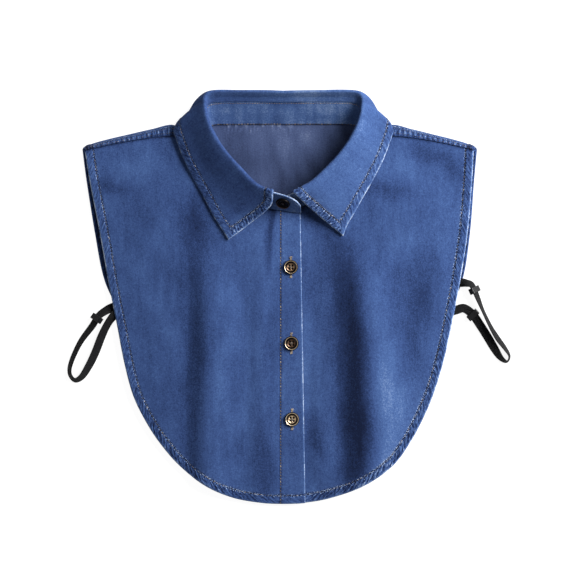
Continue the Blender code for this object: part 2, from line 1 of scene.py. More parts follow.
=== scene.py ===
# %% [markdown]
# # A detachable denim collar, lying flat
# This is a shirt collar with two short fronts and a short back, worn under a jumper.
# It lies on its back with the fronts up, so every piece is a thin sheet of cloth. Each
# sheet is laid out here as a fine grid on the same curves that its solid was made from,
# and gets its hems, stitches, wear, painted shade and painted light, and weave on top of that.

# %% Load the frame
import math
import bpy
import numpy as np
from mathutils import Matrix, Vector
from mathutils.kdtree import KDTree


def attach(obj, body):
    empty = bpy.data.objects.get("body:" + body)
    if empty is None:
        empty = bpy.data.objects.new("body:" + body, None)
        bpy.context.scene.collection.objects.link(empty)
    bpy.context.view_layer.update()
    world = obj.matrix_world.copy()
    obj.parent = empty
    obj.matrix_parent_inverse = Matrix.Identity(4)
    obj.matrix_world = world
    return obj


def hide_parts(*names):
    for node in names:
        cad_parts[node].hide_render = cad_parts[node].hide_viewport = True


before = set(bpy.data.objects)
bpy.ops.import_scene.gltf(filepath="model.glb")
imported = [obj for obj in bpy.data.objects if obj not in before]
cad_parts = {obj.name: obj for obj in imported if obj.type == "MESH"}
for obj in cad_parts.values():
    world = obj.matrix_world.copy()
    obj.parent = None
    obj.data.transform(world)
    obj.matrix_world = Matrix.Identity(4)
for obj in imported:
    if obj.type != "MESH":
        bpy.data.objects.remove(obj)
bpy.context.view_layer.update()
print("solids in the frame:", len(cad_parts))

# %% [markdown]
# The camera looks straight down from two metres with a long lens, as a flat lay is
# usually taken. A long lens keeps the high collar from growing against the low hem.

# %% Camera
scene = bpy.context.scene
camera = bpy.data.objects.new("camera", bpy.data.cameras.new("camera"))
scene.collection.objects.link(camera)
camera.data.lens = 135
camera.data.sensor_width = 36
camera.location = (0.0041, 0.0128, 1.985)
scene.camera = camera
print("camera height", camera.location.z)

# %% [markdown]
# The named sizes are those of the garment pattern, in metres. Tables give the curves as
# shares of these sizes: the neck seam, the outline of the bibs, the pressed ridges and
# the section of the folded collar.

# %% Sizes of the pattern
BIB_WIDTH = 0.364
BIB_LENGTH = 0.3235
BACK_SHORTER = 0.009
NECK_HALF = 0.142 / 2
NECK_DEPTH = 0.0813
STAND_HEIGHT = 0.0225
ROLL_HEIGHT = 0.010
LEAF_FALL = 0.044
PLACKET_NECK = 0.0155
PLACKET_HEM = 0.020
UNDERLAP = 0.003
SHOULDER_TURN = 0.0105
SHOULDER_BOW = 0.0038
CLOTH = 0.0012
STAND_CLOTH = 0.0020
LEAF_CLOTH = 0.0018
GAP = 0.0003
FRONT_CROWN = 0.0030
NECK_RISE = 0.0020
FOLD_HEIGHT = 0.0050
LEAF_HEIGHT = 0.0286
HALF_WIDTH = BIB_WIDTH / 2
SHOULDER_Y = 0.428 * BIB_LENGTH
NECK_Y = SHOULDER_Y + 0.0245
FRONT_LEVEL = CLOTH + 0.0044 + CLOTH / 2
TUCKED_LEVEL = LEAF_CLOTH + 2 * GAP + CLOTH / 2 + 0.0002
UNDER_DROP = STAND_CLOTH + GAP
LEFT, RIGHT = -1, 1
print("neck seam at y", round(NECK_Y, 4))

# %% Curves of the pattern
# side, down, lift and lean of the neck seam, from the lapped end round to the back
RING = np.array((
    (-0.225, 1.004, 1.00, 32), (0.000, 0.976, 1.00, 36), (0.320, 0.918, 0.98, 46),
    (0.550, 0.740, 0.93, 50), (0.775, 0.518, 0.85, 52), (0.915, 0.318, 0.72, 54),
    (0.985, 0.130, 0.50, 56), (0.930, 0.015, 0.12, 58), (0.500, 0.000, 0.00, 58),
    (0.000, 0.000, 0.00, 58)))
LAST = len(RING) - 1
SHOULDER_STATION = 6.0
# down, then the half widths of the right front, left front, back right and back left
OUTLINE = np.array((
    (0.000, 1.000, 0.957, 1.014, 0.976), (0.088, 0.975, 0.949, 0.994, 0.962),
    (0.236, 0.924, 0.926, 0.953, 0.942), (0.373, 0.881, 0.888, 0.906, 0.905),
    (0.486, 0.841, 0.849, 0.822, 0.828), (0.595, 0.804, 0.806, 0.777, 0.779),
    (0.687, 0.761, 0.756, 0.731, 0.728), (0.755, 0.705, 0.705, 0.673, 0.673),
    (0.823, 0.629, 0.640, 0.596, 0.604), (0.892, 0.523, 0.548, 0.488, 0.508),
    (0.949, 0.390, 0.401, 0.355, 0.362), (0.983, 0.250, 0.240, 0.215, 0.208),
    (0.997, 0.110, 0.110, 0.090, 0.090), (1.000, 0.000, 0.000, 0.000, 0.000)))
COLUMN = {("front", LEFT): 1, ("front", RIGHT): 2, ("back", LEFT): 3, ("back", RIGHT): 4}
# crest x at the top, middle and foot, top, foot, steep and gentle widths, height
FOLDS = (
    (-0.410, -0.375, -0.400, 0.25, 1.05, 0.110, 0.230, 0.85),
    (0.360, 0.410, 0.430, 0.22, 1.10, 0.165, 0.270, 1.00),
    (0.190, 0.185, 0.180, 0.60, 0.98, 0.070, 0.090, 0.20),
    (-0.130, -0.120, -0.110, 0.25, 1.10, 0.080, 0.070, 0.16))
# place and width of the fold that the back's shoulder turns forward
TURN = np.array(((0.00, 0.82), (0.20, 0.70), (0.29, 0.97), (0.42, 0.74), (0.60, 0.48),
                 (0.80, 0.30), (1.00, 0.22)))
# station, then out, back or down and height of the crest, lap, fall and edge
LEFT_END = (1.40, 0.05, -0.05, 0.30, 0.05, 0.27, 0.80, 0.44, 0.60, 0.460, 0.93, 0.970, 0.405)
RIGHT_END = (1.40, 0.05, -0.05, 0.30, 0.17, 0.16, 0.80, 0.54, 0.48, 0.460, 1.02, 0.880, 0.405)
LEAF_REST = (
    (2.00, 0.08, -0.05, 0.34, 0.12, 0.16, 0.83, 0.46, 0.46, 0.520, 0.85, 0.710, 0.395),
    (3.00, 0.10, -0.02, 0.36, 0.15, 0.15, 0.81, 0.44, 0.38, 0.540, 0.72, 0.620, 0.380),
    (4.00, 0.12, 0.02, 0.38, 0.16, 0.12, 0.80, 0.39, 0.29, 0.545, 0.62, 0.560, 0.365),
    (5.00, 0.14, 0.06, 0.42, 0.16, 0.08, 0.77, 0.38, 0.22, 0.540, 0.61, 0.490, 0.345),
    (5.60, 0.16, 0.30, 0.46, 0.17, 0.05, 0.74, 0.40, 0.20, 0.530, 0.635, 0.440, 0.340),
    (6.10, 0.20, 0.58, 0.50, 0.18, 0.05, 0.68, 0.44, 0.25, 0.480, 0.635, 0.500, 0.310),
    (6.28, 0.22, 0.68, 0.52, 0.17, 0.08, 0.58, 0.41, 0.28, 0.290, 0.500, 0.390, 0.085),
    (6.50, 0.22, 0.80, 0.54, 0.21, 0.10, 0.47, 0.30, 0.38, 0.090, 0.13, 0.740, 0.000),
    (7.00, 0.14, 0.93, 0.62, 0.10, 0.06, 0.33, 0.03, 0.43, 0.045, -0.12, 0.980, 0.000),
    (8.00, 0.00, 0.90, 0.62, 0.00, 0.06, 0.28, -0.01, 0.46, 0.042, -0.05, 1.040, 0.000),
    (9.00, 0.00, 0.84, 0.62, 0.00, 0.05, 0.28, 0.00, 0.46, 0.042, 0.00, 1.040, 0.000))
LEAF = {LEFT: np.array((LEFT_END, *LEAF_REST)), RIGHT: np.array((RIGHT_END, *LEAF_REST))}
LEAF_ROOT = 0.42
TAB_CORNER = 0.68
print("stations round the neck", len(RING), "and down the bib", len(OUTLINE))

# %% [markdown]
# ## Curve helpers
# All curves here are Catmull-Rom splines: they pass through every row of a table. They
# work on whole arrays at once, which keeps a grid of fifty thousand points quick.


# %% Curve helpers
def smooth(share):
    """Ease from 0 to 1."""
    share = np.clip(share, 0.0, 1.0)
    return share * share * (3 - 2 * share)


def mix(a, b, share):
    """Value between a and b."""
    return a + (b - a) * share


def through(rows, places):
    """Points of the smooth curve through rows, at places from 0 to len - 1."""
    rows, places = np.asarray(rows, float), np.asarray(places, float)
    last = len(rows) - 1
    first = np.clip(places.astype(int), 0, last - 1)
    f = (places - first)[..., None]
    a, b, c, d = (rows[np.clip(first + step, 0, last)] for step in (-1, 0, 1, 2))
    return 0.5 * (2 * b + (c - a) * f + (2 * a - 5 * b + 4 * c - d) * f ** 2
                  + (3 * b - a - 3 * c + d) * f ** 3)


def lengths(points):
    """Running length of a chain of points."""
    steps = np.linalg.norm(np.diff(points, axis=0), axis=1)
    return np.concatenate([[0], np.cumsum(steps)])


def along(points, shares):
    """Points at shares of the length of a chain of points."""
    run = lengths(points)
    return np.stack([np.interp(np.asarray(shares) * run[-1], run, points[:, k])
                     for k in range(points.shape[1])], -1)


def wander(x, y, seed):
    """Smooth random values from -1 to 1, with one bump per unit of x and y."""
    table = np.random.default_rng(seed).uniform(-1, 1, (97, 97))
    x, y = np.broadcast_arrays(np.asarray(x, float), np.asarray(y, float))
    i, j = np.floor(x).astype(int), np.floor(y).astype(int)
    fx, fy = smooth(x - i), smooth(y - j)
    low = mix(table[i % 97, j % 97], table[(i + 1) % 97, j % 97], fx)
    high = mix(table[i % 97, (j + 1) % 97], table[(i + 1) % 97, (j + 1) % 97], fx)
    return mix(low, high, fy)


print("halfway down the outline the right front is",
      round(float(through(OUTLINE, 4.5)[1]), 3), "of the half width")

# %% [markdown]
# ## Neck seam and neck band
# The neck seam runs from the lapped end at the front round to the back. The band stands
# on it and leans back, so from above it shows as a ring.

# %% Neck seam
FINE = np.linspace(0, 5, 2001)
FINE_X = {LEFT: -through(RING, FINE)[:, 0] * NECK_HALF}


def station_at(side, x):
    """Station of the front seam that has the given x."""
    xs = FINE_X[side]
    order = np.argsort(xs)
    return np.interp(x, xs[order], FINE[order])


def neck_seam(side, station):
    """Neck seam on one side: places, and the lean of the band from upright."""
    station = np.asarray(station, float)
    across, down, lift, lean = np.moveaxis(through(RING, station), -1, 0)
    x = across * NECK_HALF
    if side == RIGHT:
        lapped = through(RING, station_at(LEFT, x))
        beside = 1 - smooth((x + UNDERLAP) / (PLACKET_HEM + UNDERLAP))
        near = station < 2
        down = np.where(near, mix(down, lapped[..., 1], beside), down)
        lean = np.where(near, mix(lean, lapped[..., 3], beside), lean)
    level = mix(TUCKED_LEVEL, FRONT_LEVEL + NECK_RISE, np.maximum(lift, 0))
    return np.stack([side * x, NECK_Y - down * NECK_DEPTH, level], -1), np.radians(lean)


FINE_X[RIGHT] = through(RING, FINE)[:, 0] * NECK_HALF


def under(x):
    """How far the left half passes under the right one, 0 to 1."""
    lap = PLACKET_HEM + 0.0025
    return 1 - smooth((x - lap) / (1.4 * lap))


def rise_of(lean):
    """Direction up the neck band."""
    return np.stack([0 * lean, np.sin(lean), np.cos(lean)], -1)


def band_point(side, station, height):
    """Middle of the neck band at a share of its height."""
    place, lean = neck_seam(side, station)
    outward = np.stack([0 * lean, -np.cos(lean), np.sin(lean)], -1)
    reach = np.asarray(GAP + height * STAND_HEIGHT)
    place = place + np.array((0, 0, CLOTH / 2 + GAP)) + rise_of(lean) * reach[..., None]
    if side == RIGHT:
        drop = UNDER_DROP * under(place[..., 0]) * (np.asarray(station) < 5)
        place = place - outward * drop[..., None]
    return place


print("back of the neck seam", neck_seam(LEFT, LAST)[0].round(4))

# %% [markdown]
# ## Cloth from a grid
# One function makes every sheet: it takes the middle of the cloth as a grid of points
# and lays a face over it and one under it, joined round the rim. A sheet that is only
# made thick all over would look like card, so the two faces get their own heights, and
# the faces close together at a rounded edge.


# %% Cloth maker
def normals_of(grid):
    """Directions square to a grid of points."""
    square = np.cross(np.gradient(grid, axis=0), np.gradient(grid, axis=1))
    return square / np.maximum(np.linalg.norm(square, axis=-1, keepdims=True), 1e-12)


def rounded(distance, radius=0.0009):
    """Share of the full thickness near an edge."""
    inside = np.clip(distance / radius, 0, 1)
    return 0.10 + 0.90 * np.sqrt(1 - (1 - inside) ** 2)


def put(mesh, name, kind, values):
    """Store values on the points of a mesh."""
    layer = mesh.attributes.new(name, kind, "POINT")
    slot = "vector" if kind == "FLOAT_VECTOR" else "value"
    layer.data.foreach_set(slot, np.asarray(values, np.float32).ravel())


def make_cloth(name, grid, over, below, wear_and_highlight, dark, seam, thread, facing, slots, turned=None):
    """Sheet of cloth: over and below are the heights of its two faces.

    Where turned is true the under face shows the right side, as a hem does.
    """
    n, m = grid.shape[:2]
    square = normals_of(grid) * facing
    top = grid + square * over[..., None]
    low = grid - square * below[..., None]
    index = np.arange(n * m).reshape(n, m)
    faces = np.stack([index[:-1, :-1], index[1:, :-1], index[1:, 1:], index[:-1, 1:]],
                     -1).reshape(-1, 4)
    ring = np.concatenate([index[:, 0], index[-1, 1:], index[-2::-1, -1], index[0, -2:0:-1]])
    after = np.roll(ring, -1)
    rim = np.stack([after, ring, ring + n * m, after + n * m], -1)
    if facing < 0:
        faces, rim = faces[:, ::-1], rim[:, ::-1]
    every = np.concatenate([faces, faces[:, ::-1] + n * m, rim])
    mesh = bpy.data.meshes.new(name)
    mesh.from_pydata(np.concatenate([top.reshape(-1, 3), low.reshape(-1, 3)]), [],
                     every.tolist())
    for twice, (what, values) in enumerate((("wear_and_highlight", wear_and_highlight), ("dark", dark))):
        flat = np.broadcast_to(values, (n, m)).ravel()
        put(mesh, what, "FLOAT", np.concatenate([flat, flat * (0.4, 1.0)[twice]]))
    lay = np.concatenate([thread, np.zeros((n, m, 1))], -1).reshape(-1, 3)
    put(mesh, "thread", "FLOAT_VECTOR", np.concatenate([lay, lay]))
    put(mesh, "seam", "FLOAT_VECTOR", np.tile(seam.reshape(-1, 3), (2, 1)))
    numbers = np.zeros(len(every), np.int32)
    hidden = np.zeros((n, m), bool) if turned is None else turned
    numbers[len(faces):2 * len(faces)] = ~hidden.ravel()[faces].all(1)
    for material in slots:
        mesh.materials.append(material)
    mesh.polygons.foreach_set("material_index", numbers)
    mesh.shade_smooth()
    mesh.update()
    sheet = bpy.data.objects.new(name, mesh)
    scene.collection.objects.link(sheet)
    a, b, c = grid[:-1, :-1], grid[1:, :-1], grid[:-1, 1:]
    area = float(np.linalg.norm(np.cross(b - a, c - a), axis=-1).sum())
    print(name, "points", len(mesh.vertices), "cloth area cm2", round(area * 1e4))
    return sheet, top, square, area


def near_line(grid, line, step=0.0003):
    """Distance to a line, and how far along it the nearest place is."""
    run = lengths(line)
    count = max(int(run[-1] / step), 2)
    places = along(line, np.linspace(0, 1, count))
    tree = KDTree(count)
    for k, place in enumerate(places):
        tree.insert(place, k)
    tree.balance()
    found = [tree.find(point) for point in grid.reshape(-1, 3)]
    distance = np.array([f[2] for f in found]).reshape(grid.shape[:2])
    where = np.array([f[1] for f in found]).reshape(grid.shape[:2])
    return distance, where * run[-1] / (count - 1)


# %% [markdown]
# ## Turned and topstitched edges
# The edges of washed denim are turned twice and topstitched. The stitch pulls more on
# one layer than on the other, so after washing the narrow hem twists into small slanted
# ridges, called roping. The tops of the ridges and the very edge rub pale, and the groove
# of the stitch and the troughs between the ridges are painted darker.


# %% Hem relief
HEM = 0.0076


def hem_relief(distance, run, seed, rope=1.0, pale=1.0, hem_darkening=0.0, pitch=0.0054, skew=1.4):
    """Height, wear and darkness beside a turned edge, the rub inside it and its own places."""
    place = distance / HEM
    slanted = run + skew * distance
    ridge = 0.62 * np.sin(2 * math.pi * slanted / pitch + 3.4 * wander(run / 0.009, 0, seed))
    ridge = ridge + 0.75 * wander(slanted / (0.36 * pitch), place * 2.2, seed + 1)
    ridge = np.clip(ridge * (0.75 + 0.45 * wander(run / 0.016, 5, seed + 3)), -1, 1)
    band = smooth(distance / 0.0014) * (1 - smooth((place - 0.80) / 0.24))
    inner = smooth((place - 0.08) / 0.22) * (1 - smooth((place - 0.78) / 0.20))
    groove = np.exp(-((place - 1) * HEM / 0.0007) ** 2)
    height = 0.00040 * band + 0.00034 * rope * ridge * inner - 0.00034 * groove
    edge = np.exp(-(distance / 0.0010) ** 2) * (0.75 + 0.45 * wander(run / 0.005, 7, seed + 2))
    wear_and_highlight = pale * edge + 0.25 * rope * np.maximum(ridge - 0.10, 0) * inner
    dark = 0.55 * groove + (hem_darkening + 0.30 * rope * np.maximum(-ridge, 0)) * inner
    halo = np.exp(-np.maximum(distance - HEM, 0) / 0.0035) * (place > 1)
    seam = np.stack(np.broadcast_arrays(slanted / pitch, place, rope), -1)
    return height, wear_and_highlight, dark, halo, seam


print("hem width", HEM)

# %% [markdown]
# ## Stitches
# A topstitch shows as a row of short, plump stitches with a hole between each two. Each
# one is a small arched rod whose ends dive into the cloth. All stitches of a panel are
# one mesh, and a stored tone makes some lighter than others.


# %% Stitch maker
def crossing(field, value, axis, from_end):
    """Grid place on each line where a field first passes a value, from one end."""
    lines = field if axis == 1 else field.T
    places = []
    for k, line in enumerate(lines):
        row = line[::-1] if from_end else line
        past = np.nonzero(row >= value)[0]
        if len(past) == 0 or past[0] == 0:
            continue
        j = past[0] - 1 + (value - row[past[0] - 1]) / (row[past[0]] - row[past[0] - 1])
        j = len(row) - 1 - j if from_end else j
        places.append((k, j) if axis == 1 else (j, k))
    return np.array(places)


def at(grid, places):
    """Values of a grid between its points."""
    i = np.clip(places[:, 0].astype(int), 0, grid.shape[0] - 2)
    j = np.clip(places[:, 1].astype(int), 0, grid.shape[1] - 2)
    fi, fj = (places[:, 0] - i)[:, None], (places[:, 1] - j)[:, None]
    return mix(mix(grid[i, j], grid[i + 1, j], fi), mix(grid[i, j + 1], grid[i + 1, j + 1], fi), fj)


RINGS = np.array(((-1.0, 0.30), (-0.62, 0.85), (0.0, 1.0), (0.62, 0.85), (1.0, 0.30)))


class Stitching:
    """Rows of stitches that are made into one mesh."""

    def __init__(self, seed):
        self.points, self.tones = [], []
        self.random = np.random.default_rng(seed)

    def row(self, path, square, length=0.0022, step=0.0030, width=0.00062, rise=0.00030,
            slant=0.0, tone=(0.0, 1.0)):
        """Sew along a path that lies on the cloth."""
        run = lengths(path)
        count = int(run[-1] / step)
        if count < 1:
            return
        shares = (np.arange(count) + 0.5) / count
        centre, ahead = along(path, shares), along(path, np.minimum(shares + 0.004, 1))
        up = np.stack([np.interp(shares * run[-1], run, square[:, k]) for k in range(3)], -1)
        back = along(path, np.maximum(shares - 0.004, 0))
        up = up / np.linalg.norm(up, axis=1, keepdims=True)
        go = ahead - back
        go = go / np.linalg.norm(go, axis=1, keepdims=True)
        side = np.cross(up, go)
        go = go + side * slant
        go = go / np.linalg.norm(go, axis=1, keepdims=True)
        side = np.cross(up, go)
        size = self.random.uniform(0.86, 1.08, (count, 1, 1, 1))
        turn = np.arange(6) * math.pi / 3
        u, r = RINGS[:, 0], RINGS[:, 1] * width / 2
        middle = (centre[:, None] + go[:, None] * (u * length / 2)[None, :, None]
                  + up[:, None] * (rise * (1 - 1.5 * u * u))[None, :, None])
        ring = (side[:, None, None] * np.cos(turn)[None, None, :, None]
                + up[:, None, None] * np.sin(turn)[None, None, :, None])
        self.points.append(middle[:, :, None] + ring * r[None, :, None, None] * size)
        tones = self.random.uniform(*tone, count)
        self.tones.append(np.repeat(tones, 30))

    def make(self, name, material):
        """Mesh of all the rows."""
        points = np.concatenate(self.points).reshape(-1, 3)
        count = len(points) // 30
        quads = [(6 * a + b, 6 * a + (b + 1) % 6, 6 * a + 6 + (b + 1) % 6, 6 * a + 6 + b)
                 for a in range(4) for b in range(6)]
        faces = [[30 * k + v for v in quad] for k in range(count) for quad in quads]
        faces += [[30 * k + v for v in range(5, -1, -1)] for k in range(count)]
        faces += [[30 * k + 24 + v for v in range(6)] for k in range(count)]
        mesh = bpy.data.meshes.new(name)
        mesh.from_pydata(points, [], faces)
        put(mesh, "tone", "FLOAT", np.concatenate(self.tones))
        mesh.materials.append(material)
        mesh.shade_smooth()
        thing = bpy.data.objects.new(name, mesh)
        scene.collection.objects.link(thing)
        print(name, "stitches", count)
        return thing


# %% [markdown]
# ## Denim
# Denim is a twill: indigo warp over a pale weft, so it shows fine slanted lines. Washing
# takes the dye off unevenly, in soft clouds and in streaks down the warp. The material
# adds these up to one number, how faded the cloth is, and a colour ramp turns that into
# indigo. The wear_and_highlight and dark values stored on the mesh push the same number
# up and down: they hold rubbed wear and mottling, and also painted highlights, painted
# shade and painted shadows.


# %% Node helpers
def add(tree, kind, **settings):
    """New node with its settings."""
    made = tree.nodes.new("ShaderNode" + kind)
    for name, value in settings.items():
        setattr(made, name, value)
    return made


def maths(tree, operation, a, b=None, c=None):
    """Output of a sum of sockets or numbers."""
    made = add(tree, "Math", operation=operation)
    for socket, value in zip(made.inputs, (a, b, c)):
        if value is None:
            continue
        if isinstance(value, (int, float)):
            socket.default_value = value
        else:
            tree.links.new(value, socket)
    return made.outputs[0]


def cloud(tree, vector, stretch, scale, detail=2.0):
    """Noise stretched along the cloth."""
    scaled = add(tree, "VectorMath", operation="MULTIPLY")
    tree.links.new(vector, scaled.inputs[0])
    scaled.inputs[1].default_value = stretch
    noise = add(tree, "TexNoise")
    tree.links.new(scaled.outputs[0], noise.inputs["Vector"])
    noise.inputs["Scale"].default_value = scale
    noise.inputs["Detail"].default_value = detail
    noise.inputs["Roughness"].default_value = 0.55
    return noise.outputs[0]


def start_material(name, roughness, metallic=0.0, specular=0.3):
    """Material with its shader, its tree and its output."""
    material = bpy.data.materials.new(name)
    material.use_nodes = True
    tree = material.node_tree
    shader = tree.nodes["Principled BSDF"]
    shader.inputs["Roughness"].default_value = roughness
    shader.inputs["Metallic"].default_value = metallic
    shader.inputs["Specular IOR Level"].default_value = specular
    return material, tree, shader


def ramp(tree, value, stops):
    """Colour ramp from places and colours."""
    made = add(tree, "ValToRGB")
    made.color_ramp.interpolation = "LINEAR"
    while len(made.color_ramp.elements) < len(stops):
        made.color_ramp.elements.new(0.5)
    for element, (place, color) in zip(made.color_ramp.elements, stops):
        element.position = place
        element.color = (*color, 1)
    tree.links.new(value, made.inputs[0])
    return made.outputs[0]


def bumped(tree, shader, height, distance, strength=1.0):
    """Bump from a height."""
    made = add(tree, "Bump")
    made.inputs["Distance"].default_value = distance
    made.inputs["Strength"].default_value = strength
    tree.links.new(height, made.inputs["Height"])
    tree.links.new(made.outputs[0], shader.inputs["Normal"])


def between(tree, value, low, high):
    """Smooth step from 0 at low to 1 at high."""
    made = add(tree, "MapRange", interpolation_type="SMOOTHSTEP")
    tree.links.new(value, made.inputs["Value"])
    made.inputs["From Min"].default_value = low
    made.inputs["From Max"].default_value = high
    return made.outputs["Result"]


def roping(tree):
    """Pale and dark of the twisted hem and of its stitch line, and the height of the ridges."""
    seam = add(tree, "Attribute", attribute_name="seam").outputs["Vector"]
    parts = add(tree, "SeparateXYZ")
    tree.links.new(seam, parts.inputs[0])
    run, across, rope = parts.outputs
    wobble = cloud(tree, seam, (1.7, 1.3, 0), 1.0, 1.0)
    fine = cloud(tree, seam, (2.5, 2.4, 0), 1.0, 2.5)
    specks = cloud(tree, seam, (5.0, 10.0, 0), 1.0, 1.0)
    wave = maths(tree, "SINE", maths(tree, "MULTIPLY_ADD", run, 2 * math.pi,
                                     maths(tree, "MULTIPLY", wobble, 12.0)))
    ridge = maths(tree, "MULTIPLY_ADD", maths(tree, "SUBTRACT", fine, 0.5), 5.0,
                  maths(tree, "MULTIPLY", wave, 0.55))
    inner = maths(tree, "MULTIPLY", between(tree, across, 0.05, 0.22),
                  maths(tree, "SUBTRACT", 1.0, between(tree, across, 0.84, 1.0)))
    ridge = maths(tree, "MULTIPLY", ridge, maths(tree, "MULTIPLY", inner, rope))
    near = maths(tree, "MULTIPLY", between(tree, across, 0.76, 0.92),
                 maths(tree, "SUBTRACT", 1.0, between(tree, across, 1.06, 1.30)))
    near = maths(tree, "MULTIPLY", near, maths(tree, "MULTIPLY_ADD", rope, 0.5, 0.8))
    speck = maths(tree, "MULTIPLY", maths(tree, "MULTIPLY", maths(tree, "SUBTRACT", specks, 0.51), near), 6.0)
    return ridge, speck


# %% Denim material
def denim(name, stops, seed, contrast=1.0):
    """Washed denim."""
    material, tree, shader = start_material(name, 0.90, specular=0.06)
    shader.inputs["Sheen Weight"].default_value = 0.03
    shader.inputs["Sheen Roughness"].default_value = 0.5
    thread = add(tree, "Attribute", attribute_name="thread").outputs["Vector"]
    moved = add(tree, "VectorMath", operation="ADD")
    moved.inputs[1].default_value = (seed * 0.37, seed * 0.21, seed * 0.13)
    tree.links.new(thread, moved.inputs[0])
    place = moved.outputs[0]
    twill = add(tree, "VectorMath", operation="DOT_PRODUCT")
    twill.inputs[1].default_value = (4600, 5900, 0)
    tree.links.new(thread, twill.inputs[0])
    wobble = cloud(tree, place, (1, 1, 1), 260, 1.0)
    lines = maths(tree, "SINE", maths(tree, "MULTIPLY_ADD", wobble, 3.0, twill.outputs["Value"]))
    slubs = cloud(tree, place, (1, 0.08, 1), 1100, 1.0)
    patches = cloud(tree, place, (1, 0.7, 1), 26, 4.0)
    streaks = cloud(tree, place, (1, 0.16, 1), 160, 3.0)
    grain = cloud(tree, place, (1, 1, 1), 620, 2.0)
    wear_and_highlight = add(tree, "Attribute", attribute_name="wear_and_highlight").outputs["Fac"]
    dark = add(tree, "Attribute", attribute_name="dark").outputs["Fac"]
    fade = maths(tree, "MULTIPLY_ADD", patches, 0.34 * contrast, 0.43 - 0.17 * contrast)
    fade = maths(tree, "MULTIPLY_ADD", maths(tree, "SUBTRACT", streaks, 0.5), 0.20 * contrast, fade)
    fade = maths(tree, "MULTIPLY_ADD", maths(tree, "SUBTRACT", grain, 0.5), 0.30, fade)
    fleck = cloud(tree, place, (1, 1, 1), 1250, 1.0)
    fade = maths(tree, "MULTIPLY_ADD", maths(tree, "SUBTRACT", fleck, 0.5), 0.42, fade)
    fade = maths(tree, "MULTIPLY_ADD", maths(tree, "SUBTRACT", slubs, 0.5), 0.12, fade)
    fade = maths(tree, "MULTIPLY_ADD", lines, 0.035, fade)
    broken = maths(tree, "MULTIPLY_ADD", grain, 1.1, 0.45)
    # lighter with rubbed wear and painted highlights, darker with painted shade; dark below zero is painted
    # light
    fade = maths(tree, "MULTIPLY_ADD", maths(tree, "MULTIPLY", wear_and_highlight, broken), 0.55, fade)
    fade = maths(tree, "MULTIPLY_ADD", dark, -0.36, fade)
    ridge, speck = roping(tree)
    fade = maths(tree, "MULTIPLY_ADD", ridge, 0.36, fade)
    fade = maths(tree, "MULTIPLY_ADD", speck, 0.58, fade)
    tree.links.new(ramp(tree, fade, stops), shader.inputs["Base Color"])
    weave = maths(tree, "MULTIPLY_ADD", lines, 0.35, maths(tree, "ADD", grain, slubs))
    weave = maths(tree, "MULTIPLY_ADD", ridge, 2.2, maths(tree, "MULTIPLY_ADD", speck, 1.2, weave))
    bumped(tree, shader, weave, 0.00012, 0.60)
    return material


BLUE = ((0.00, (0.0045, 0.0090, 0.030)), (0.22, (0.0130, 0.0265, 0.082)),
        (0.42, (0.0280, 0.0550, 0.156)), (0.62, (0.0480, 0.0940, 0.232)),
        (0.82, (0.1240, 0.1850, 0.328)), (1.00, (0.3600, 0.4300, 0.570)))
PALE = ((0.00, (0.0090, 0.0130, 0.030)), (0.22, (0.0190, 0.0270, 0.062)),
        (0.42, (0.0330, 0.0480, 0.107)), (0.62, (0.0500, 0.0700, 0.146)),
        (0.82, (0.1150, 0.1450, 0.230)), (1.00, (0.2900, 0.3400, 0.440)))
denim_right = denim("denim_right_side", BLUE, 1)
denim_wrong = denim("denim_wrong_side", PALE, 2, 1.15)
print("denim shades", len(BLUE))


# %% Thread material
def sewing_thread(name, stops):
    """Twisted polyester thread, each stitch with its own tone."""
    material, tree, shader = start_material(name, 0.55, specular=0.4)
    tone = add(tree, "Attribute", attribute_name="tone").outputs["Fac"]
    tree.links.new(ramp(tree, tone, stops), shader.inputs["Base Color"])
    where = add(tree, "TexCoord").outputs["Object"]
    bumped(tree, shader, cloud(tree, where, (1, 1, 1), 4200, 1.0), 0.00008)
    return material


dark_thread = sewing_thread("thread_dark", ((0.0, (0.008, 0.009, 0.016)), (0.66, (0.036, 0.030, 0.036)),
                                            (0.88, (0.13, 0.105, 0.095)), (1.0, (0.32, 0.30, 0.32))))
tan_thread = sewing_thread("thread_tan", ((0.0, (0.028, 0.023, 0.023)), (0.5, (0.12, 0.092, 0.072)),
                                          (1.0, (0.34, 0.28, 0.21))))
print("thread shades", 2)

# %% [markdown]
# ## Fronts
# A front is a grid between the neck seam and the outer edge, from the shoulder to the
# button edge. The rows crowd together in the hem, where the small relief is, and stay
# wide apart in the plain middle.


# %% Outline and fronts
def outline(side, panel):
    """Chain of points down one side of a bib and past its middle."""
    length = BIB_LENGTH if panel == "front" else BIB_LENGTH - BACK_SHORTER
    own, other = COLUMN[(panel, side)], COLUMN[(panel, -side)]
    rows = [(side * row[own] * HALF_WIDTH, SHOULDER_Y - row[0] * length, 0) for row in OUTLINE]
    rows += [(-side * row[other] * HALF_WIDTH, SHOULDER_Y - row[0] * length, 0)
             for row in OUTLINE[-2:-4:-1]]
    return through(rows, np.arange((len(rows) - 1) * 32 + 1) / 32)


def cut_at(chain, side, x):
    """Chain of points that ends where it reaches x."""
    stop = int(np.nonzero(side * chain[:, 0] < side * x)[0][0])
    share = (x - chain[stop - 1, 0]) / (chain[stop, 0] - chain[stop - 1, 0])
    return np.vstack([chain[:stop], mix(chain[stop - 1], chain[stop], share)])


def fold_height(x, y):
    """Height of the pressed ridges over the smooth front."""
    down, across = (SHOULDER_Y - y) / BIB_LENGTH, x / HALF_WIDTH
    total = 0.0
    for top_x, middle_x, low_x, top, low, steep, gentle, height in FOLDS:
        crest = through(((top_x,), (middle_x,), (low_x,)), np.clip(2 * down, 0, 2))[..., 0]
        away = across - crest
        width = np.where(away < 0, steep, gentle)
        bell = np.cos(np.minimum(np.abs(away) / width, 1) * math.pi / 2) ** 2
        total = total + height * bell * smooth((down - top) / 0.22) * smooth((low - down) / 0.10)
    return total * FOLD_HEIGHT
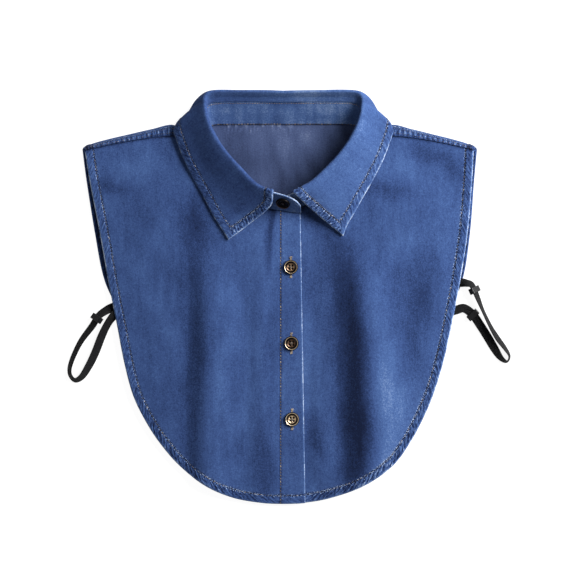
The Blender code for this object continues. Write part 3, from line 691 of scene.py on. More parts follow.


# %% Painted shade and light of the folds
# left and right widths in mm, then x and y in mm and the darkness along each fold: painted shade and painted
# shadow above zero, painted light below zero
SHADES = (
    (10, 13, ((-80, 95, 0.35), (-81, 60, 0.45), (-82, 10, 0.38), (-79, -51, 0.66),
              (-87, -100, 0.42), (-85, -150, 0.30), (-82, -172, 0.10))),
    (12, 18, ((-62, 40, -0.04), (-57, -30, -0.04), (-54, -80, -0.04), (-62, -130, -0.04))),
    (17, 11, ((54, 50, 0.40), (61, 5, 0.80), (66, -50, 1.05), (69, -115, 1.30),
             (68, -160, 1.00), (62, -182, 0.50))),
    (15, 16, ((100, 22, 0.25), (107, -18, 0.42), (113, -60, 0.20))),
    (16, 16, ((-128, 86, 0.22), (-102, 84, 0.36), (-84, 74, 0.28))),
    (7, 8, ((19, -15, -0.22), (20, -60, -0.28), (22, -92, -0.18))),
    (8, 7, ((14, 88, 0.55), (27, 78, 0.65), (38, 62, 0.30))),
    (9, 18, ((88, 20, -0.25), (92, -40, -0.42), (95, -100, -0.60), (94, -150, -0.50))),
    (4, 2.5, ((-8, 86, 1.00), (-12, 64, 0.75), (-14, 24, 0.15))),
    (9, 6, ((-13, -50, 0.10), (-17, -125, 0.32), (-16, -174, 0.38))),
    (5, 7, ((24, -104, 0.20), (29, -130, 0.45), (36, -144, 0.20))),
    (7, 7, ((-174, 106, 0.35), (-150, 103, 0.50), (-134, 103, 0.20))),
    (9, 9, ((-150, 124, -0.15), (-118, 126, -0.15))),
    (8, 8, ((82, 106, 0.40), (98, 102, 0.45), (114, 100, 0.20))),
    (9, 8, ((126, 137, 0.35), (150, 130, 0.50), (165, 112, 0.50), (168, 96, 0.25))),
    (10, 10, ((104, 126, -0.15), (128, 116, -0.25), (142, 94, -0.15))),
    (14, 15, ((131, 36, 0.32), (128, 20, 0.46), (130, -10, 0.36))),
    (8, 8, ((-43, -48, 0.12), (-42, -90, 0.16))))


def fold_shade(x, y):
    """Painted shade and shadows on the folds and painted light on their lit flanks, with some dye kept in the
    folds and wash mottling, from -0.5 to 1.
    """
    total = np.zeros_like(x)
    for left, right, line in SHADES:
        nearest = np.full_like(x, 1e9)
        value = np.zeros_like(x)
        for (ax, ay, a), (bx, by, b) in zip(line, line[1:]):
            dx, dy = bx - ax, by - ay
            share = np.clip(((1000 * x - ax) * dx + (1000 * y - ay) * dy) / (dx * dx + dy * dy), 0, 1)
            off_x, off_y = 1000 * x - ax - share * dx, 1000 * y - ay - share * dy
            away = np.hypot(off_x, off_y) / np.where(off_x < 0, left, right)
            value = np.where(away < nearest, mix(a, b, share) * np.exp(-away ** 2), value)
            nearest = np.minimum(away, nearest)
        total += value
    return total + 0.07 * wander(x / 0.021, y / 0.045, 9) + 0.06 * wander(x / 0.009, y / 0.014, 10)


print("folds with a shade", len(SHADES))

# %% Front grid
EDGE_X = {LEFT: (PLACKET_NECK, PLACKET_HEM), RIGHT: (-UNDERLAP, -UNDERLAP)}


def front_curves(side):
    """Neck curve and outer curve of a front, from the shoulder to the button edge."""
    neck_x, hem_x = EDGE_X[side]
    stations = np.linspace(SHOULDER_STATION, station_at(side, neck_x), 161)
    return neck_seam(side, stations)[0], cut_at(outline(side, "front"), side, hem_x)


def front_grid(side, s, r):
    """Middle of a front's cloth, s from the shoulder, r from the neck."""
    inner, outer = front_curves(side)
    near, far = along(inner, s)[:, None], along(outer, s)[:, None]
    s, r = np.asarray(s)[:, None], np.asarray(r)[None]
    x = mix(near[..., 0], far[..., 0], r)
    y = mix(near[..., 1], far[..., 1], r)
    y = y + SHOULDER_BOW * 4 * r * (1 - r) * (1 - smooth(s / 0.15))
    crown = FRONT_CROWN * np.sin(math.pi * r) * smooth(s / 0.25)
    z = mix(near[..., 2], FRONT_LEVEL, smooth(r / 0.7)) + crown + fold_height(x, y)
    if side == RIGHT:
        z = z - UNDER_DROP * under(x)
    return np.stack([x, y, z], -1)


def crowded(count, edge, edge_count, fine=(0.0004, 0.0013, 0.003)):
    """Places from 0 to 1 that crowd together in the last share, edge."""
    wide = np.linspace(0, 1 - edge, count)
    close = np.linspace(1 - edge, 1, edge_count)[1:-1]
    last = [1 - f for f in reversed(fine)] + [1.0]
    return np.unique(np.concatenate([wide, close[close < last[0] - 0.001], last]))


PLACKET_SEAM_X = -0.0026
ROWS = crowded(86, 0.12, 34)
s_wide = np.linspace(0.004, 0.985, 300)
COLUMNS = np.unique(np.concatenate([[0, 0.0006, 0.002], s_wide, [0.990, 0.994, 0.997, 0.9985, 0.9994, 1]]))
print("front grid", len(COLUMNS), "by", len(ROWS))


# %% Both fronts
# strength of the roping and darkening of the hem band, from the shoulder to the middle
ROPE = {LEFT: (0.45, 0.40, 0.50, 0.80, 1.0, 0.60, 0.30), RIGHT: (0.45, 0.60, 0.70, 1.0, 1.2, 1.0, 0.40)}
HEM_DARKENING = {LEFT: (0.05, 0.00, 0.10, 0.30, 0.40, 0.30, 0.15), RIGHT: (0.25, 0.25, 0.20, 0.20, 0.20, 0.25, 0.10)}


def make_front(side, name, seed, pale):
    """A front with its hem, its button edge and its stitches."""
    grid = front_grid(side, COLUMNS, ROWS)
    grid[0, :, 1] -= GAP / 2
    hem, hem_run = near_line(grid, grid[:, -1])
    edge, edge_run = near_line(grid, grid[-1])
    shoulder, _ = near_line(grid, grid[0])
    x, y = grid[..., 0], grid[..., 1]
    share = hem_run / hem_run.max()
    rope = np.interp(share, (0, 0.25, 0.45, 0.60, 0.80, 0.90, 1), ROPE[side])
    hem_darkening = np.interp(share, (0, 0.25, 0.45, 0.60, 0.80, 0.90, 1), HEM_DARKENING[side])
    rub = np.interp(share, (0, 0.5, 0.65, 0.85, 1), (0, 0.05, 0.22, 0.22, 0))
    pale = pale * np.interp(share, (0, 0.45, 0.7, 1), (1.9, 1.6, 1.0, 0.8) if side == LEFT else (1, 1, 1, 1))
    height, wear_and_highlight, dark, halo, seam_place = hem_relief(hem, hem_run, seed, rope, pale, hem_darkening)
    # the folds' painted shade, painted shadows and painted light go into dark here
    dark = dark + fold_shade(x, y) * smooth((hem - 0.4 * HEM) / HEM) - rub * halo
    soft = 0.00022 * wander(x / 0.016, y / 0.034, seed + 5)
    soft += 0.00010 * wander(x / 0.006, y / 0.012, seed + 6)
    over = CLOTH / 2 * rounded(np.minimum(hem, edge)) + height + soft * smooth(hem / 0.01)
    sewn = Stitching(seed)
    if side == LEFT:
        away = x - PLACKET_SEAM_X
        tug = np.sin(2 * math.pi * y / 0.0042 + 2.5 * wander(y / 0.012, 0, seed + 8))
        groove = np.exp(-(away / 0.0008) ** 2)
        over = over + 0.00030 * smooth(away / 0.0016 + 0.5) - 0.00032 * groove
        over += 0.00008 * tug * np.exp(-np.abs(away) / 0.002)
        dark = dark + 0.55 * groove
        wear_and_highlight = wear_and_highlight + 0.95 * np.exp(-(edge / 0.00075) ** 2) * (0.8 + 0.2 * wander(y / 0.01, 1, seed))
        wear_and_highlight += 0.16 * np.exp(-((away - 0.0016) / 0.0012) ** 2) * (0.5 + 0.5 * tug)
    dark = dark + 0.5 * np.exp(-(shoulder / 0.0012) ** 2)
    below = CLOTH / 2 * rounded(np.minimum(hem, edge))
    sheet, top, square, area = make_cloth(
        name, grid, over, below, wear_and_highlight, dark, seam_place, grid[..., :2], -1 if side == LEFT else 1,
        (denim_right, denim_wrong))
    path = crossing(hem, HEM, 1, True)
    sewn.row(at(top, path), at(square, path), slant=0.12, tone=(0.0, 1.0))
    threads = [sewn.make(name + "_hem_stitches", dark_thread)]
    if side == LEFT:
        seam = Stitching(seed + 1)
        path = crossing(-x, -PLACKET_SEAM_X, 0, True)
        seam.row(at(top, path), at(square, path), length=0.0020, step=0.0028, slant=0.25,
                 tone=(0.2, 1.0))
        threads.append(seam.make(name + "_placket_stitches", tan_thread))
    return sheet, threads, area, top, square


front_right, right_threads, right_area, right_top, right_square = make_front(LEFT, "front_right_cloth", 11, 0.80)
front_left, left_threads, left_area, left_top, left_square = make_front(RIGHT, "front_left_cloth", 23, 1.0)

# %% [markdown]
# ## Back
# The back lies on the table with its wrong side up, and at the shoulders it is folded
# forward to meet the fronts. The right side of the denim is underneath and shows only on
# the turned strips, so the two faces have their own denim.


# %% Back panel
def raised(x, y):
    """Level of the back: flat on the table, and over the leaf tucked under it."""
    up = smooth((y - (NECK_Y - 1.15 * LEAF_FALL)) / (0.6 * LEAF_FALL))
    inside = 1 - smooth((np.abs(x) - 1.32 * NECK_HALF) / (0.5 * NECK_HALF))
    return mix(CLOTH / 2, TUCKED_LEVEL, up * inside)


def turned_shoulder(side, rows, turns=22):
    """Lines of the back's shoulder, folded forward to the seam."""
    tip_x = outline(side, "back")[0, 0]
    seam_line = front_grid(side, [0.0, 0.001], rows)[0]
    lines = []
    for k in range(turns + 1):
        angle = math.pi * k / turns
        low = (1 - math.cos(angle)) / 2
        width = SHOULDER_TURN * through(TURN, np.interp(rows, TURN[:, 0], range(len(TURN))))[:, 1]
        x = mix(seam_line[:, 0], mix(seam_line[:, 0], tip_x, rows ** 3), low)
        y = seam_line[:, 1] + GAP + width * math.sin(angle)
        z = mix(seam_line[:, 2], raised(seam_line[:, 0], seam_line[:, 1]), low)
        line = np.stack([x, y, z], -1)
        corner = neck_seam(side, SHOULDER_STATION + k / turns)[0] - line[0]
        lines.append(line + corner[None] * (1 - smooth(5 * rows))[:, None])
    return lines


def back_grid(rows, columns=250):
    """Middle of the back's cloth, from the left turned shoulder to the right one."""
    left, right = turned_shoulder(LEFT, rows), turned_shoulder(RIGHT, rows)
    corner = SHOULDER_STATION + 1
    stations = np.linspace(corner, LAST, 81)
    neck = np.vstack([neck_seam(LEFT, stations)[0], neck_seam(RIGHT, stations[::-1][1:])[0]])
    middle = (len(OUTLINE) - 1) * 32
    down, up = outline(LEFT, "back"), outline(RIGHT, "back")
    hem = np.vstack([left[-1][-1:], down[1:middle], up[middle:0:-1], right[-1][-1:]])
    shares = np.arange(1, columns) / columns
    near, far = along(neck, shares)[:, None], along(hem, shares)[:, None]
    x = mix(near[..., 0], far[..., 0], rows[None])
    y = mix(near[..., 1], far[..., 1], rows[None])
    flat = np.stack([x, y, raised(x, y)], -1)
    return np.concatenate([np.array(left), flat, np.array(right[::-1])]), len(left)


back_rows = np.union1d(crowded(66, 0.12, 24), (0.003, 0.006, 0.009, 0.013, 0.017, 0.022, 0.028, 0.036))
grid, turned = back_grid(back_rows)
hem, hem_run = near_line(grid, grid[:, -1])
neck, neck_run = near_line(grid, grid[:, 0])
# the back's hem strip, which shows past the fronts' edges, gets strong painted shade for the shadow that the
# fronts throw on it
height, wear_and_highlight, dark, _, seam_place = hem_relief(hem, hem_run, 41, rope=0.7, pale=0.25, hem_darkening=0.90)
count = grid.shape[0]
number = np.arange(count)
fold_share = np.clip(np.minimum(number, count - 1 - number) / (turned - 1), 0, 1)[:, None]
flat_part = fold_share >= 1
reach = 0.0070 + 0.0045 * wander(neck_run / 0.006, 0, 43)
tuck = np.maximum(wander(neck_run / 0.0017, neck / 0.006, 44) + 0.05, 0) * np.exp(-(neck / reach) ** 2)
tuck = tuck * smooth((grid[..., 0] + 0.058) / 0.008) * (1 - smooth((grid[..., 0] - 0.006) / 0.01))
gather = tuck * flat_part
seam_side = 0.5 * np.exp(-(fold_share / 0.06) ** 2)
near_seam = np.where(fold_share < 1, 1.0, 0.0)
ridges = np.sin(2 * math.pi * hem_run * 0 + 2 * math.pi * grid[..., 0] / 0.0046)
strip = near_seam * np.exp(-((fold_share - 0.16) / 0.12) ** 2)
on_strip = np.stack(np.broadcast_arrays(grid[..., 0] / 0.0024, fold_share / 0.34, 0.55), -1)
seam_place = np.where((near_seam * (hem > 0.004))[..., None] > 0, on_strip, seam_place)
over = CLOTH / 2 * rounded(hem) * (0.3 + 0.7 * near_seam) + 0.00022 * ridges * strip
over = np.where(near_seam > 0, over + height * smooth(hem / 0.004), CLOTH / 2 * rounded(hem) * 0.95)
below = CLOTH / 2 * rounded(hem) + np.where(fold_share >= 1, height + 0.00050 * gather, 0)
wear_and_highlight = wear_and_highlight + strip * 0.8 * np.maximum(ridges, 0) + 1.5 * gather
wear_and_highlight = wear_and_highlight + 0.25 * np.exp(-((fold_share - 0.5) / 0.10) ** 2)
dark = dark + seam_side + 0.25 * near_seam + 0.45 * strip * np.maximum(-ridges, 0)
cloudy = 0.28 * wander((grid[..., 0] + 0.3 * grid[..., 1]) / 0.008, grid[..., 1] / 0.030, 46)
cloudy = cloudy + 0.30 * wander(grid[..., 0] / 0.024, grid[..., 1] / 0.022, 48)
# painted light where the lamp reaches the middle of the back inside the neck ring, and a painted shade line on
# the back along the neck seam
painted_light_pool = np.exp(-((grid[..., 0] + 0.020) / 0.032) ** 2 - ((grid[..., 1] - 0.138) / 0.030) ** 2)
dark = dark + (0.35 * np.exp(-neck / 0.0008) + cloudy - 0.14 * painted_light_pool) * flat_part
back, back_top, back_square, back_area = make_cloth(
    "back_cloth", grid, over, below, wear_and_highlight, dark, seam_place, grid[..., :2], 1, (denim_right, denim_wrong),
    turned=hem < HEM)

# %% Back stitches
back_sewn = Stitching(47)
path = crossing(hem, HEM, 1, True)
inside_face = grid - back_square * (CLOTH / 2 + 0.0002)
back_sewn.row(at(inside_face, path), -at(back_square, path), slant=0.12)
for first, step in ((0.10, 1), (0.24, 1)):
    for end in (0, 1):
        column = first * (turned - 1) if end == 0 else count - 1 - first * (turned - 1)
        places = np.array([(column, j) for j in np.linspace(0, grid.shape[1] - 1, 160)])
        back_sewn.row(at(back_top, places), at(back_square, places), length=0.0017, step=0.0025,
                      width=0.0005, slant=0.2, tone=(0.0, 0.95))
back_threads = back_sewn.make("back_stitches", dark_thread)

# %% [markdown]
# ## Neck band
# The band is two layers, so it is a little thicker, and its right end is rounded to a
# tab. Its inner face shows above the back, with one row of stitches along the top.

# %% Neck band
ends = {LEFT: 0.0, RIGHT: float(station_at(RIGHT, -UNDERLAP))}
heights = np.unique(np.concatenate([np.linspace(0, 1, 22), [0.012, 0.03, 0.97, 0.988]]))
halves = []
for side in (LEFT, RIGHT):
    shares = np.unique(np.concatenate([np.linspace(0, 1, 190), [0.0008, 0.002, 0.0035]]))
    stations = mix(ends[side], LAST, shares ** 1.25)
    corner = TAB_CORNER * STAND_HEIGHT
    inset = np.abs(neck_seam(side, stations)[0][:, 0] - neck_seam(side, ends[side])[0][0]) / corner
    inset = np.where(stations > 2, 1, np.minimum(inset, 1))
    top_share = 1 - (1 - np.sqrt(1 - (1 - inset) ** 2)) * corner / STAND_HEIGHT
    halves.append(band_point(side, stations[:, None] + 0 * heights[None],
                             top_share[:, None] * heights[None]))
grid = np.concatenate([halves[0], halves[1][::-1][1:]])
rim_line = np.vstack([grid[0, ::1], grid[1:, -1], grid[-1, -2::-1]])
rim, rim_run = near_line(grid, rim_line)
foot, foot_run = near_line(grid, grid[:, 0])
tucks = np.sin(2 * math.pi * foot_run / 0.013 + 5 * wander(foot_run / 0.03, 0, 51))
groove = np.exp(-((rim - 0.0010) / 0.0004) ** 2)
slack = 0.00016 * wander(foot_run / 0.010, foot / 0.012, 52) + 0.00014 * tucks * np.exp(-foot / 0.009)
over = STAND_CLOTH / 2 * rounded(np.minimum(rim, foot)) - 0.00025 * groove + slack
below = STAND_CLOTH / 2 * rounded(np.minimum(rim, foot)) - 0.00025 * groove
at_tab = 1 - smooth((np.abs(grid[..., 0]) - 0.012) / 0.016) * (grid[..., 1] < 0.14) - (grid[..., 1] >= 0.14)
wear_and_highlight = (0.15 + 0.55 * at_tab) * np.exp(-(rim / 0.0006) ** 2)
# painted light on the tops of the tucks and painted shade in their troughs, and a painted shade line along the
# band's foot at the seam with the back
wear_and_highlight += 0.10 * np.maximum(tucks, 0) * np.exp(-foot / 0.009)
dark = 0.6 * groove + 0.3 * np.exp(-(foot / 0.0008) ** 2) + 0.18 * np.maximum(-tucks, 0)
# painted light lifts the whole band out of the shade that the collar throws on it; the wander adds random tone
dark = dark - 0.56 + 0.22 * wander(foot_run / 0.016, foot / 0.007, 54)
thread = np.stack([foot_run, foot], -1)
seam_place = np.stack([rim_run / 0.0046, rim / 0.0012, 0.2 + 0 * rim], -1)
band, band_top, band_square, band_area = make_cloth(
    "neck_band_cloth", grid, over, below, wear_and_highlight, dark, seam_place, thread, 1, (denim_right, denim_right))
band_sewn = Stitching(53)
path = crossing(rim, 0.0010, 1, True)
path = path[at(grid, path)[:, 1] > 0.112]
band_sewn.row(at(band_top, path), at(band_square, path), length=0.0016, step=0.0022, width=0.0005,
              tone=(0.3, 1))
outer_face = grid - band_square * (STAND_CLOTH / 2 - 0.0001)
band_sewn.row(at(outer_face, path), -at(band_square, path), tone=(0.0, 0.7))
path = np.array([(k, 1.2) for k in range(len(grid))], float)
band_sewn.row(at(band_top, path), at(band_square, path), length=0.0018, step=0.0027, tone=(0.0, 0.8))
band_threads = band_sewn.make("neck_band_stitches", tan_thread)

# %% [markdown]
# ## Collar leaf
# The leaf rises from the top of the band, rolls over a soft crest and falls outwards to
# the two points. At the back it folds right under the back panel. A single grid runs
# across the fold, so the cloth turns smoothly instead of meeting in an edge.


# %% Collar leaf
def leaf_half(side, places, down):
    """Middle of the leaf's cloth on one side."""
    row = through(LEAF[side], places)
    lean = neck_seam(side, row[:, 0])[1]
    rise = rise_of(lean)
    join = band_point(side, row[:, 0], np.ones(len(row))) + (rise + np.array((0, 0, 1))) * 2 * GAP
    crest = join + np.stack([side * row[:, 1], row[:, 2], row[:, 3]], -1) * ROLL_HEIGHT
    root = join + rise * LEAF_ROOT * np.linalg.norm(crest - join, axis=1, keepdims=True)
    section = [join, root, crest]
    lowest = LEAF_CLOTH / 2 + 0.00005
    for k in (4, 7, 10):
        section.append(np.stack([crest[:, 0] + side * row[:, k] * LEAF_FALL,
                                 crest[:, 1] - row[:, k + 1] * LEAF_FALL,
                                 np.maximum(row[:, k + 2] * LEAF_HEIGHT, lowest)], -1))
    section = np.array(section)
    half = through(section.reshape(6, -1), 5 * down ** 1.15).reshape(len(down), len(row), 3)
    half = np.moveaxis(half, 0, 1)
    half[..., 2] = np.maximum(half[..., 2], lowest)
    return half


down = np.unique(np.concatenate([np.linspace(0, 0.80, 46), np.linspace(0.80, 1, 26),
                                 [0.9985, 0.996, 0.992]]))
places = (len(LEAF[LEFT]) - 1) * np.unique(np.concatenate(
    [[0, 0.0004, 0.0012, 0.0025], np.linspace(0.005, 0.5, 150), np.linspace(0.5, 1, 70)]))
grid = np.concatenate([leaf_half(LEFT, places, down), leaf_half(RIGHT, places, down)[::-1][1:]])
rim_line = np.vstack([grid[0], grid[1:, -1], grid[-1, -2::-1]])
rim, rim_run = near_line(grid, rim_line)
front_length = [lengths(grid[k])[-1] for k in (0, -1)]
from_end = np.minimum(rim_run - front_length[0], rim_run.max() - front_length[1] - rim_run)
at_front = 1 - smooth((from_end + 0.002) / 0.004)
leaf_hem = hem_relief(rim, rim_run, 61, rope=0.45, pale=1.0, hem_darkening=0.15, skew=1.0)
ticked = hem_relief(rim, rim_run, 66, rope=0.95, pale=1.0, hem_darkening=0.25, pitch=0.0033, skew=0.3)
height, wear_and_highlight, dark, _ = (mix(a, b, at_front) for a, b in zip(leaf_hem[:4], ticked[:4]))
seam_place = np.where(at_front[..., None] > 0.5, ticked[4], leaf_hem[4])
# painted light on the leaf half towards +x, which faces the lamp, painted shade on the half towards -x, and
# painted light lifting the top of the leaf behind the band
dark = dark - 0.22 * smooth(grid[..., 0] / 0.02) + 0.10 * smooth(-grid[..., 0] / 0.02)
dark = dark - 0.45 * smooth((grid[..., 1] - 0.150) / 0.02) * smooth(1 - np.abs(grid[..., 0]) / 0.09)
side_run = np.concatenate([[0], np.cumsum(np.linalg.norm(np.diff(grid[:, -1], axis=0), axis=1))])
fall_run = np.cumsum(np.linalg.norm(np.diff(grid, axis=1, prepend=grid[:, :1]), axis=-1), axis=1)
thread = np.stack([side_run[:, None] + 0 * fall_run, fall_run], -1)
slack = 0.00022 * wander(thread[..., 0] / 0.014, thread[..., 1] / 0.02, 62) * smooth(rim / 0.008)
over = LEAF_CLOTH / 2 * rounded(rim) + height + slack
below = LEAF_CLOTH / 2 * rounded(rim)
# painted highlight along the crest of the roll, strongest on the front of the leaf half towards -x
roll = np.exp(-((fall_run - 0.0085) / 0.0028) ** 2)
left_low = smooth(-grid[..., 0] / 0.01) * (1 - smooth((grid[..., 1] - 0.085) / 0.03))
fuzz = 0.7 + 0.5 * wander(side_run[:, None] / 0.0015, fall_run / 0.001, 63)
wear_and_highlight = wear_and_highlight + (0.12 + 0.30 * left_low) * roll * fuzz
leaf, leaf_top, leaf_square, leaf_area = make_cloth(
    "collar_leaf_cloth", grid, over, below, wear_and_highlight, dark, seam_place, thread, 1, (denim_right, denim_right))
leaf_sewn = Stitching(64)
path = crossing(rim, HEM, 1, True)
leaf_sewn.row(at(leaf_top, path), at(leaf_square, path), slant=0.12)
for from_end in (False, True):
    path = crossing(rim, HEM, 0, from_end)
    path = path[path[:, 1] > 8]
    leaf_sewn.row(at(leaf_top, path), at(leaf_square, path), slant=0.12)
leaf_threads = leaf_sewn.make("collar_leaf_stitches", dark_thread)

# %% [markdown]
# ## Buttons
# The shirt buttons are cast in a brass look: a round rim, a dark ring, a dished middle
# and four holes with crossed thread. A turned profile gives the rings, and the holes are
# pressed into the middle plate as pits in the same rings.

# %% Brass and thread for the buttons
brass, tree, shader = start_material("antique_gold", 0.36, 0.90, 0.3)
where = add(tree, "TexCoord").outputs["Object"]
patina_and_shade = add(tree, "Attribute", attribute_name="patina_and_shade").outputs["Fac"]
spots = cloud(tree, where, (1, 1, 1), 900, 3.0)
brass_darkness = maths(tree, "MULTIPLY_ADD", spots, 0.24, maths(tree, "MULTIPLY", patina_and_shade, 1.10))
tree.links.new(ramp(tree, brass_darkness, ((0.12, (0.80, 0.68, 0.50)), (0.38, (0.44, 0.31, 0.19)),
                                 (0.62, (0.12, 0.070, 0.045)), (0.95, (0.006, 0.005, 0.005)))),
               shader.inputs["Base Color"])
bumped(tree, shader, spots, 0.00006)


# %% Button maker
def make_button(name, node, seed, darkening, ringed):
    """Four-hole button over the solid of the same node."""
    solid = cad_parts[node]
    points = np.array([solid.matrix_world @ v.co for v in solid.data.vertices])
    centre = points.mean(0)
    _, _, turned_to = np.linalg.svd(points - centre)
    axis = turned_to[2] * (1 if turned_to[2][2] > 0 else -1)
    first = np.cross((0.0, 1.0, 0.0), axis)
    first = first / np.linalg.norm(first)
    second = np.cross(axis, first)
    radius, half = 0.0066, 0.00125
    profile = [(0.05 * k, 0.10) for k in range(11)]
    profile += [(0.56, 0.30), (0.61, 0.55), (0.66, 0.30), (0.72, 0.16), (0.77, 0.40), (0.82, 0.80),
                (0.87, 0.96), (0.92, 0.88), (0.97, 0.55), (1.0, 0.15), (0.985, -0.45), (0.90, -0.95),
                (0.5, -1.0), (0.0, -1.0)]
    turns = 72
    angle = np.arange(turns) * 2 * math.pi / turns
    verts, patina_and_shade_values, faces = [], [], []
    for r, z in profile:
        ring = radius * r
        pits = np.zeros(turns)
        if 0 < r < 0.55 and z > -0.5:
            for k in range(4):
                a = math.pi / 4 + k * math.pi / 2
                gap = np.hypot(ring * np.cos(angle) - 0.0019 * math.cos(a),
                               ring * np.sin(angle) - 0.0019 * math.sin(a))
                pits = np.maximum(pits, 1 - smooth((gap - 0.00078) / 0.0003))
        level = half * z - 0.0013 * pits
        verts += [centre + first * ring * math.cos(a) + second * ring * math.sin(a) + axis * lv
                  for a, lv in zip(angle, level)]
        # the dark ring is the brass's own patina; the holes, pressed in only as pits, get painted shade, and the
        # outer edge and the underside a painted contact shadow
        groove = float(np.interp(r, (0.0, 0.12, 0.2, 0.5, 0.57, 0.62, 0.66, 0.76, 0.81, 0.88, 0.92),
                                 (0.0, 0.1, ringed, ringed, 0.50, 0.9, 1.0, 0.9, 0.05, 0.05, 1.0)))
        groove = 1.0 if z < 0 else groove
        patina_and_shade_values += list(np.maximum(pits, groove) + darkening)
    for k in range(len(profile) - 1):
        for t in range(turns):
            n = (t + 1) % turns
            faces.append((k * turns + t, (k + 1) * turns + t, (k + 1) * turns + n, k * turns + n))
    mesh = bpy.data.meshes.new(name)
    mesh.from_pydata(verts, [], faces)
    put(mesh, "patina_and_shade", "FLOAT", patina_and_shade_values)
    mesh.materials.append(brass)
    mesh.shade_smooth()
    button = bpy.data.objects.new(name, mesh)
    scene.collection.objects.link(button)
    tie = Stitching(seed)
    for a, b in (((-1, -1), (1, 1)), ((-1, 1), (1, -1))):
        ends_of = [centre + (first * p[0] + second * p[1]) * 0.00134 + axis * half * 0.35
                   for p in (a, b)]
        line = np.linspace(ends_of[0], ends_of[1], 9)
        tie.row(line, np.repeat(axis[None], 9, 0), length=0.0034, step=0.0037, width=0.0005,
                rise=0.0001, tone=(0.3, 0.6))
    ties = tie.make(name + "_thread", dark_thread)
    return button, ties, centre, axis


# how darkened each button is, and how dark its dish is; the collar button's strong darkening is painted dark
# reflection on its tilted face
BUTTONS = {"button_collar": (0.50, 0.30), "button_upper": (0.04, 0.36), "button_middle": (0.05, 0.52),
           "button_lower": (-0.10, 0.26)}
buttons = [make_button(node + "_metal", node, 70 + k, *look) for k, (node, look) in enumerate(BUTTONS.items())]

# %% [markdown]
# ## Buttonholes
# Each buttonhole is a short slit worked all round in golden thread. The button covers
# its middle, so only the thick ends of it show above and below the button.

# %% Buttonholes
worked = Stitching(81)
for button, _, centre, axis in buttons[1:]:
    for x in (-0.0005, 0.0005):
        line = np.array([(centre[0] + x, centre[1] + y, centre[2] - 0.00155)
                         for y in np.linspace(-0.0088, 0.0088, 40)])
        worked.row(line, np.repeat(axis[None], 40, 0), length=0.0011, step=0.00055, width=0.0008,
                   rise=0.0002, slant=1.6, tone=(0.3, 1.0))
    for y in (-0.0092, 0.0090):
        line = np.array([(centre[0] + x, centre[1] + y, centre[2] - 0.0014)
                         for x in np.linspace(-0.0010, 0.0010, 7)])
        worked.row(line, np.repeat(axis[None], 7, 0), length=0.0019, step=0.0006, width=0.0009,
                   rise=0.0003, slant=2.5, tone=(0.5, 1.0))
buttonholes = worked.make("buttonhole_stitches", tan_thread)

# %% [markdown]
# ## Elastic bands
# Two narrow black elastic bands join the fronts to the back at the waist, each with a
# plastic slider. The band is a flat woven ribbon with fine ribs along it, so its section
# is carried along a route of points and twists where the real one turns on its edge.

# %% Elastic and plastic materials
elastic, tree, shader = start_material("black_elastic", 0.70, specular=0.16)
thread = add(tree, "Attribute", attribute_name="thread").outputs["Vector"]
ribs = add(tree, "VectorMath", operation="DOT_PRODUCT")
ribs.inputs[1].default_value = (9000, 0, 0)
tree.links.new(thread, ribs.inputs[0])
picks = add(tree, "VectorMath", operation="DOT_PRODUCT")
picks.inputs[1].default_value = (0, 7000, 0)
tree.links.new(thread, picks.inputs[0])
knit = maths(tree, "ADD", maths(tree, "SINE", ribs.outputs["Value"]),
             maths(tree, "MULTIPLY", maths(tree, "SINE", picks.outputs["Value"]), 0.6))
lint = cloud(tree, thread, (1, 1, 1), 500, 2.0)
shade = maths(tree, "MULTIPLY_ADD", knit, 0.12, lint)
tree.links.new(ramp(tree, shade, ((0.2, (0.0015, 0.0015, 0.002)), (0.9, (0.007, 0.007, 0.008)))),
               shader.inputs["Base Color"])
bumped(tree, shader, knit, 0.00010)
plastic, tree, shader = start_material("black_plastic", 0.35, specular=0.3)
where = add(tree, "TexCoord").outputs["Object"]
tree.links.new(ramp(tree, cloud(tree, where, (1, 1, 1), 300, 2.0),
                    ((0.3, (0.0015, 0.0015, 0.002)), (0.8, (0.005, 0.005, 0.006)))),
               shader.inputs["Base Color"])
bumped(tree, shader, cloud(tree, where, (1, 1, 1), 900, 2.0), 0.00004)

# %% Routes of the bands
STRAP_WIDTH = 0.008
STRAP_THICK = 0.001
STRAP_REACH = 0.060
# out, down, lift and roll at each point of the route
LEFT_BAND = (
    (-0.16, -0.03, 1.3, 0), (0.00, 0.01, 1.3, 0), (0.13, 0.075, 1.8, 24), (0.235, 0.157, 2.3, 38),
    (0.325, 0.30, 2.0, 40), (0.51, 0.55, 0.4, 50), (0.645, 0.84, 0.0, 55), (0.675, 1.02, 0.0, 60),
    (0.60, 1.13, 0.0, 60), (0.49, 1.08, 0.0, 50), (0.375, 0.90, 0.0, 36), (0.28, 0.70, 0.0, 30),
    (0.195, 0.48, 0.2, 30), (0.115, 0.31, 1.0, 38), (0.04, 0.195, 2.3, 32), (-0.03, 0.12, 3.1, 10),
    (-0.11, 0.085, 3.3, 0), (-0.20, 0.07, 3.3, 0))
RIGHT_BAND = (
    (-0.10, -0.34, 1.3, 0), (0.07, -0.335, 1.4, 0), (0.17, -0.325, 2.0, 34), (0.245, -0.305, 2.2, 45),
    (0.295, -0.220, 2.4, 49), (0.345, -0.10, 2.2, 54), (0.427, 0.10, 1.9, 66), (0.545, 0.345, 1.8, 62),
    (0.655, 0.525, 1.2, 54), (0.768, 0.675, 0.4, 62), (0.832, 0.790, 0.0, 73), (0.792, 0.876, 0.0, 75),
    (0.695, 0.812, 0.0, 54), (0.60, 0.665, 0.0, 26), (0.50, 0.495, 0.3, 14), (0.398, 0.335, 1.2, 12),
    (0.275, 0.16, 2.1, 12), (0.14, 0.06, 2.3, 10), (0.02, 0.085, 2.8, 4), (-0.10, 0.12, 3.2, 0),
    (-0.20, 0.14, 3.2, 0))


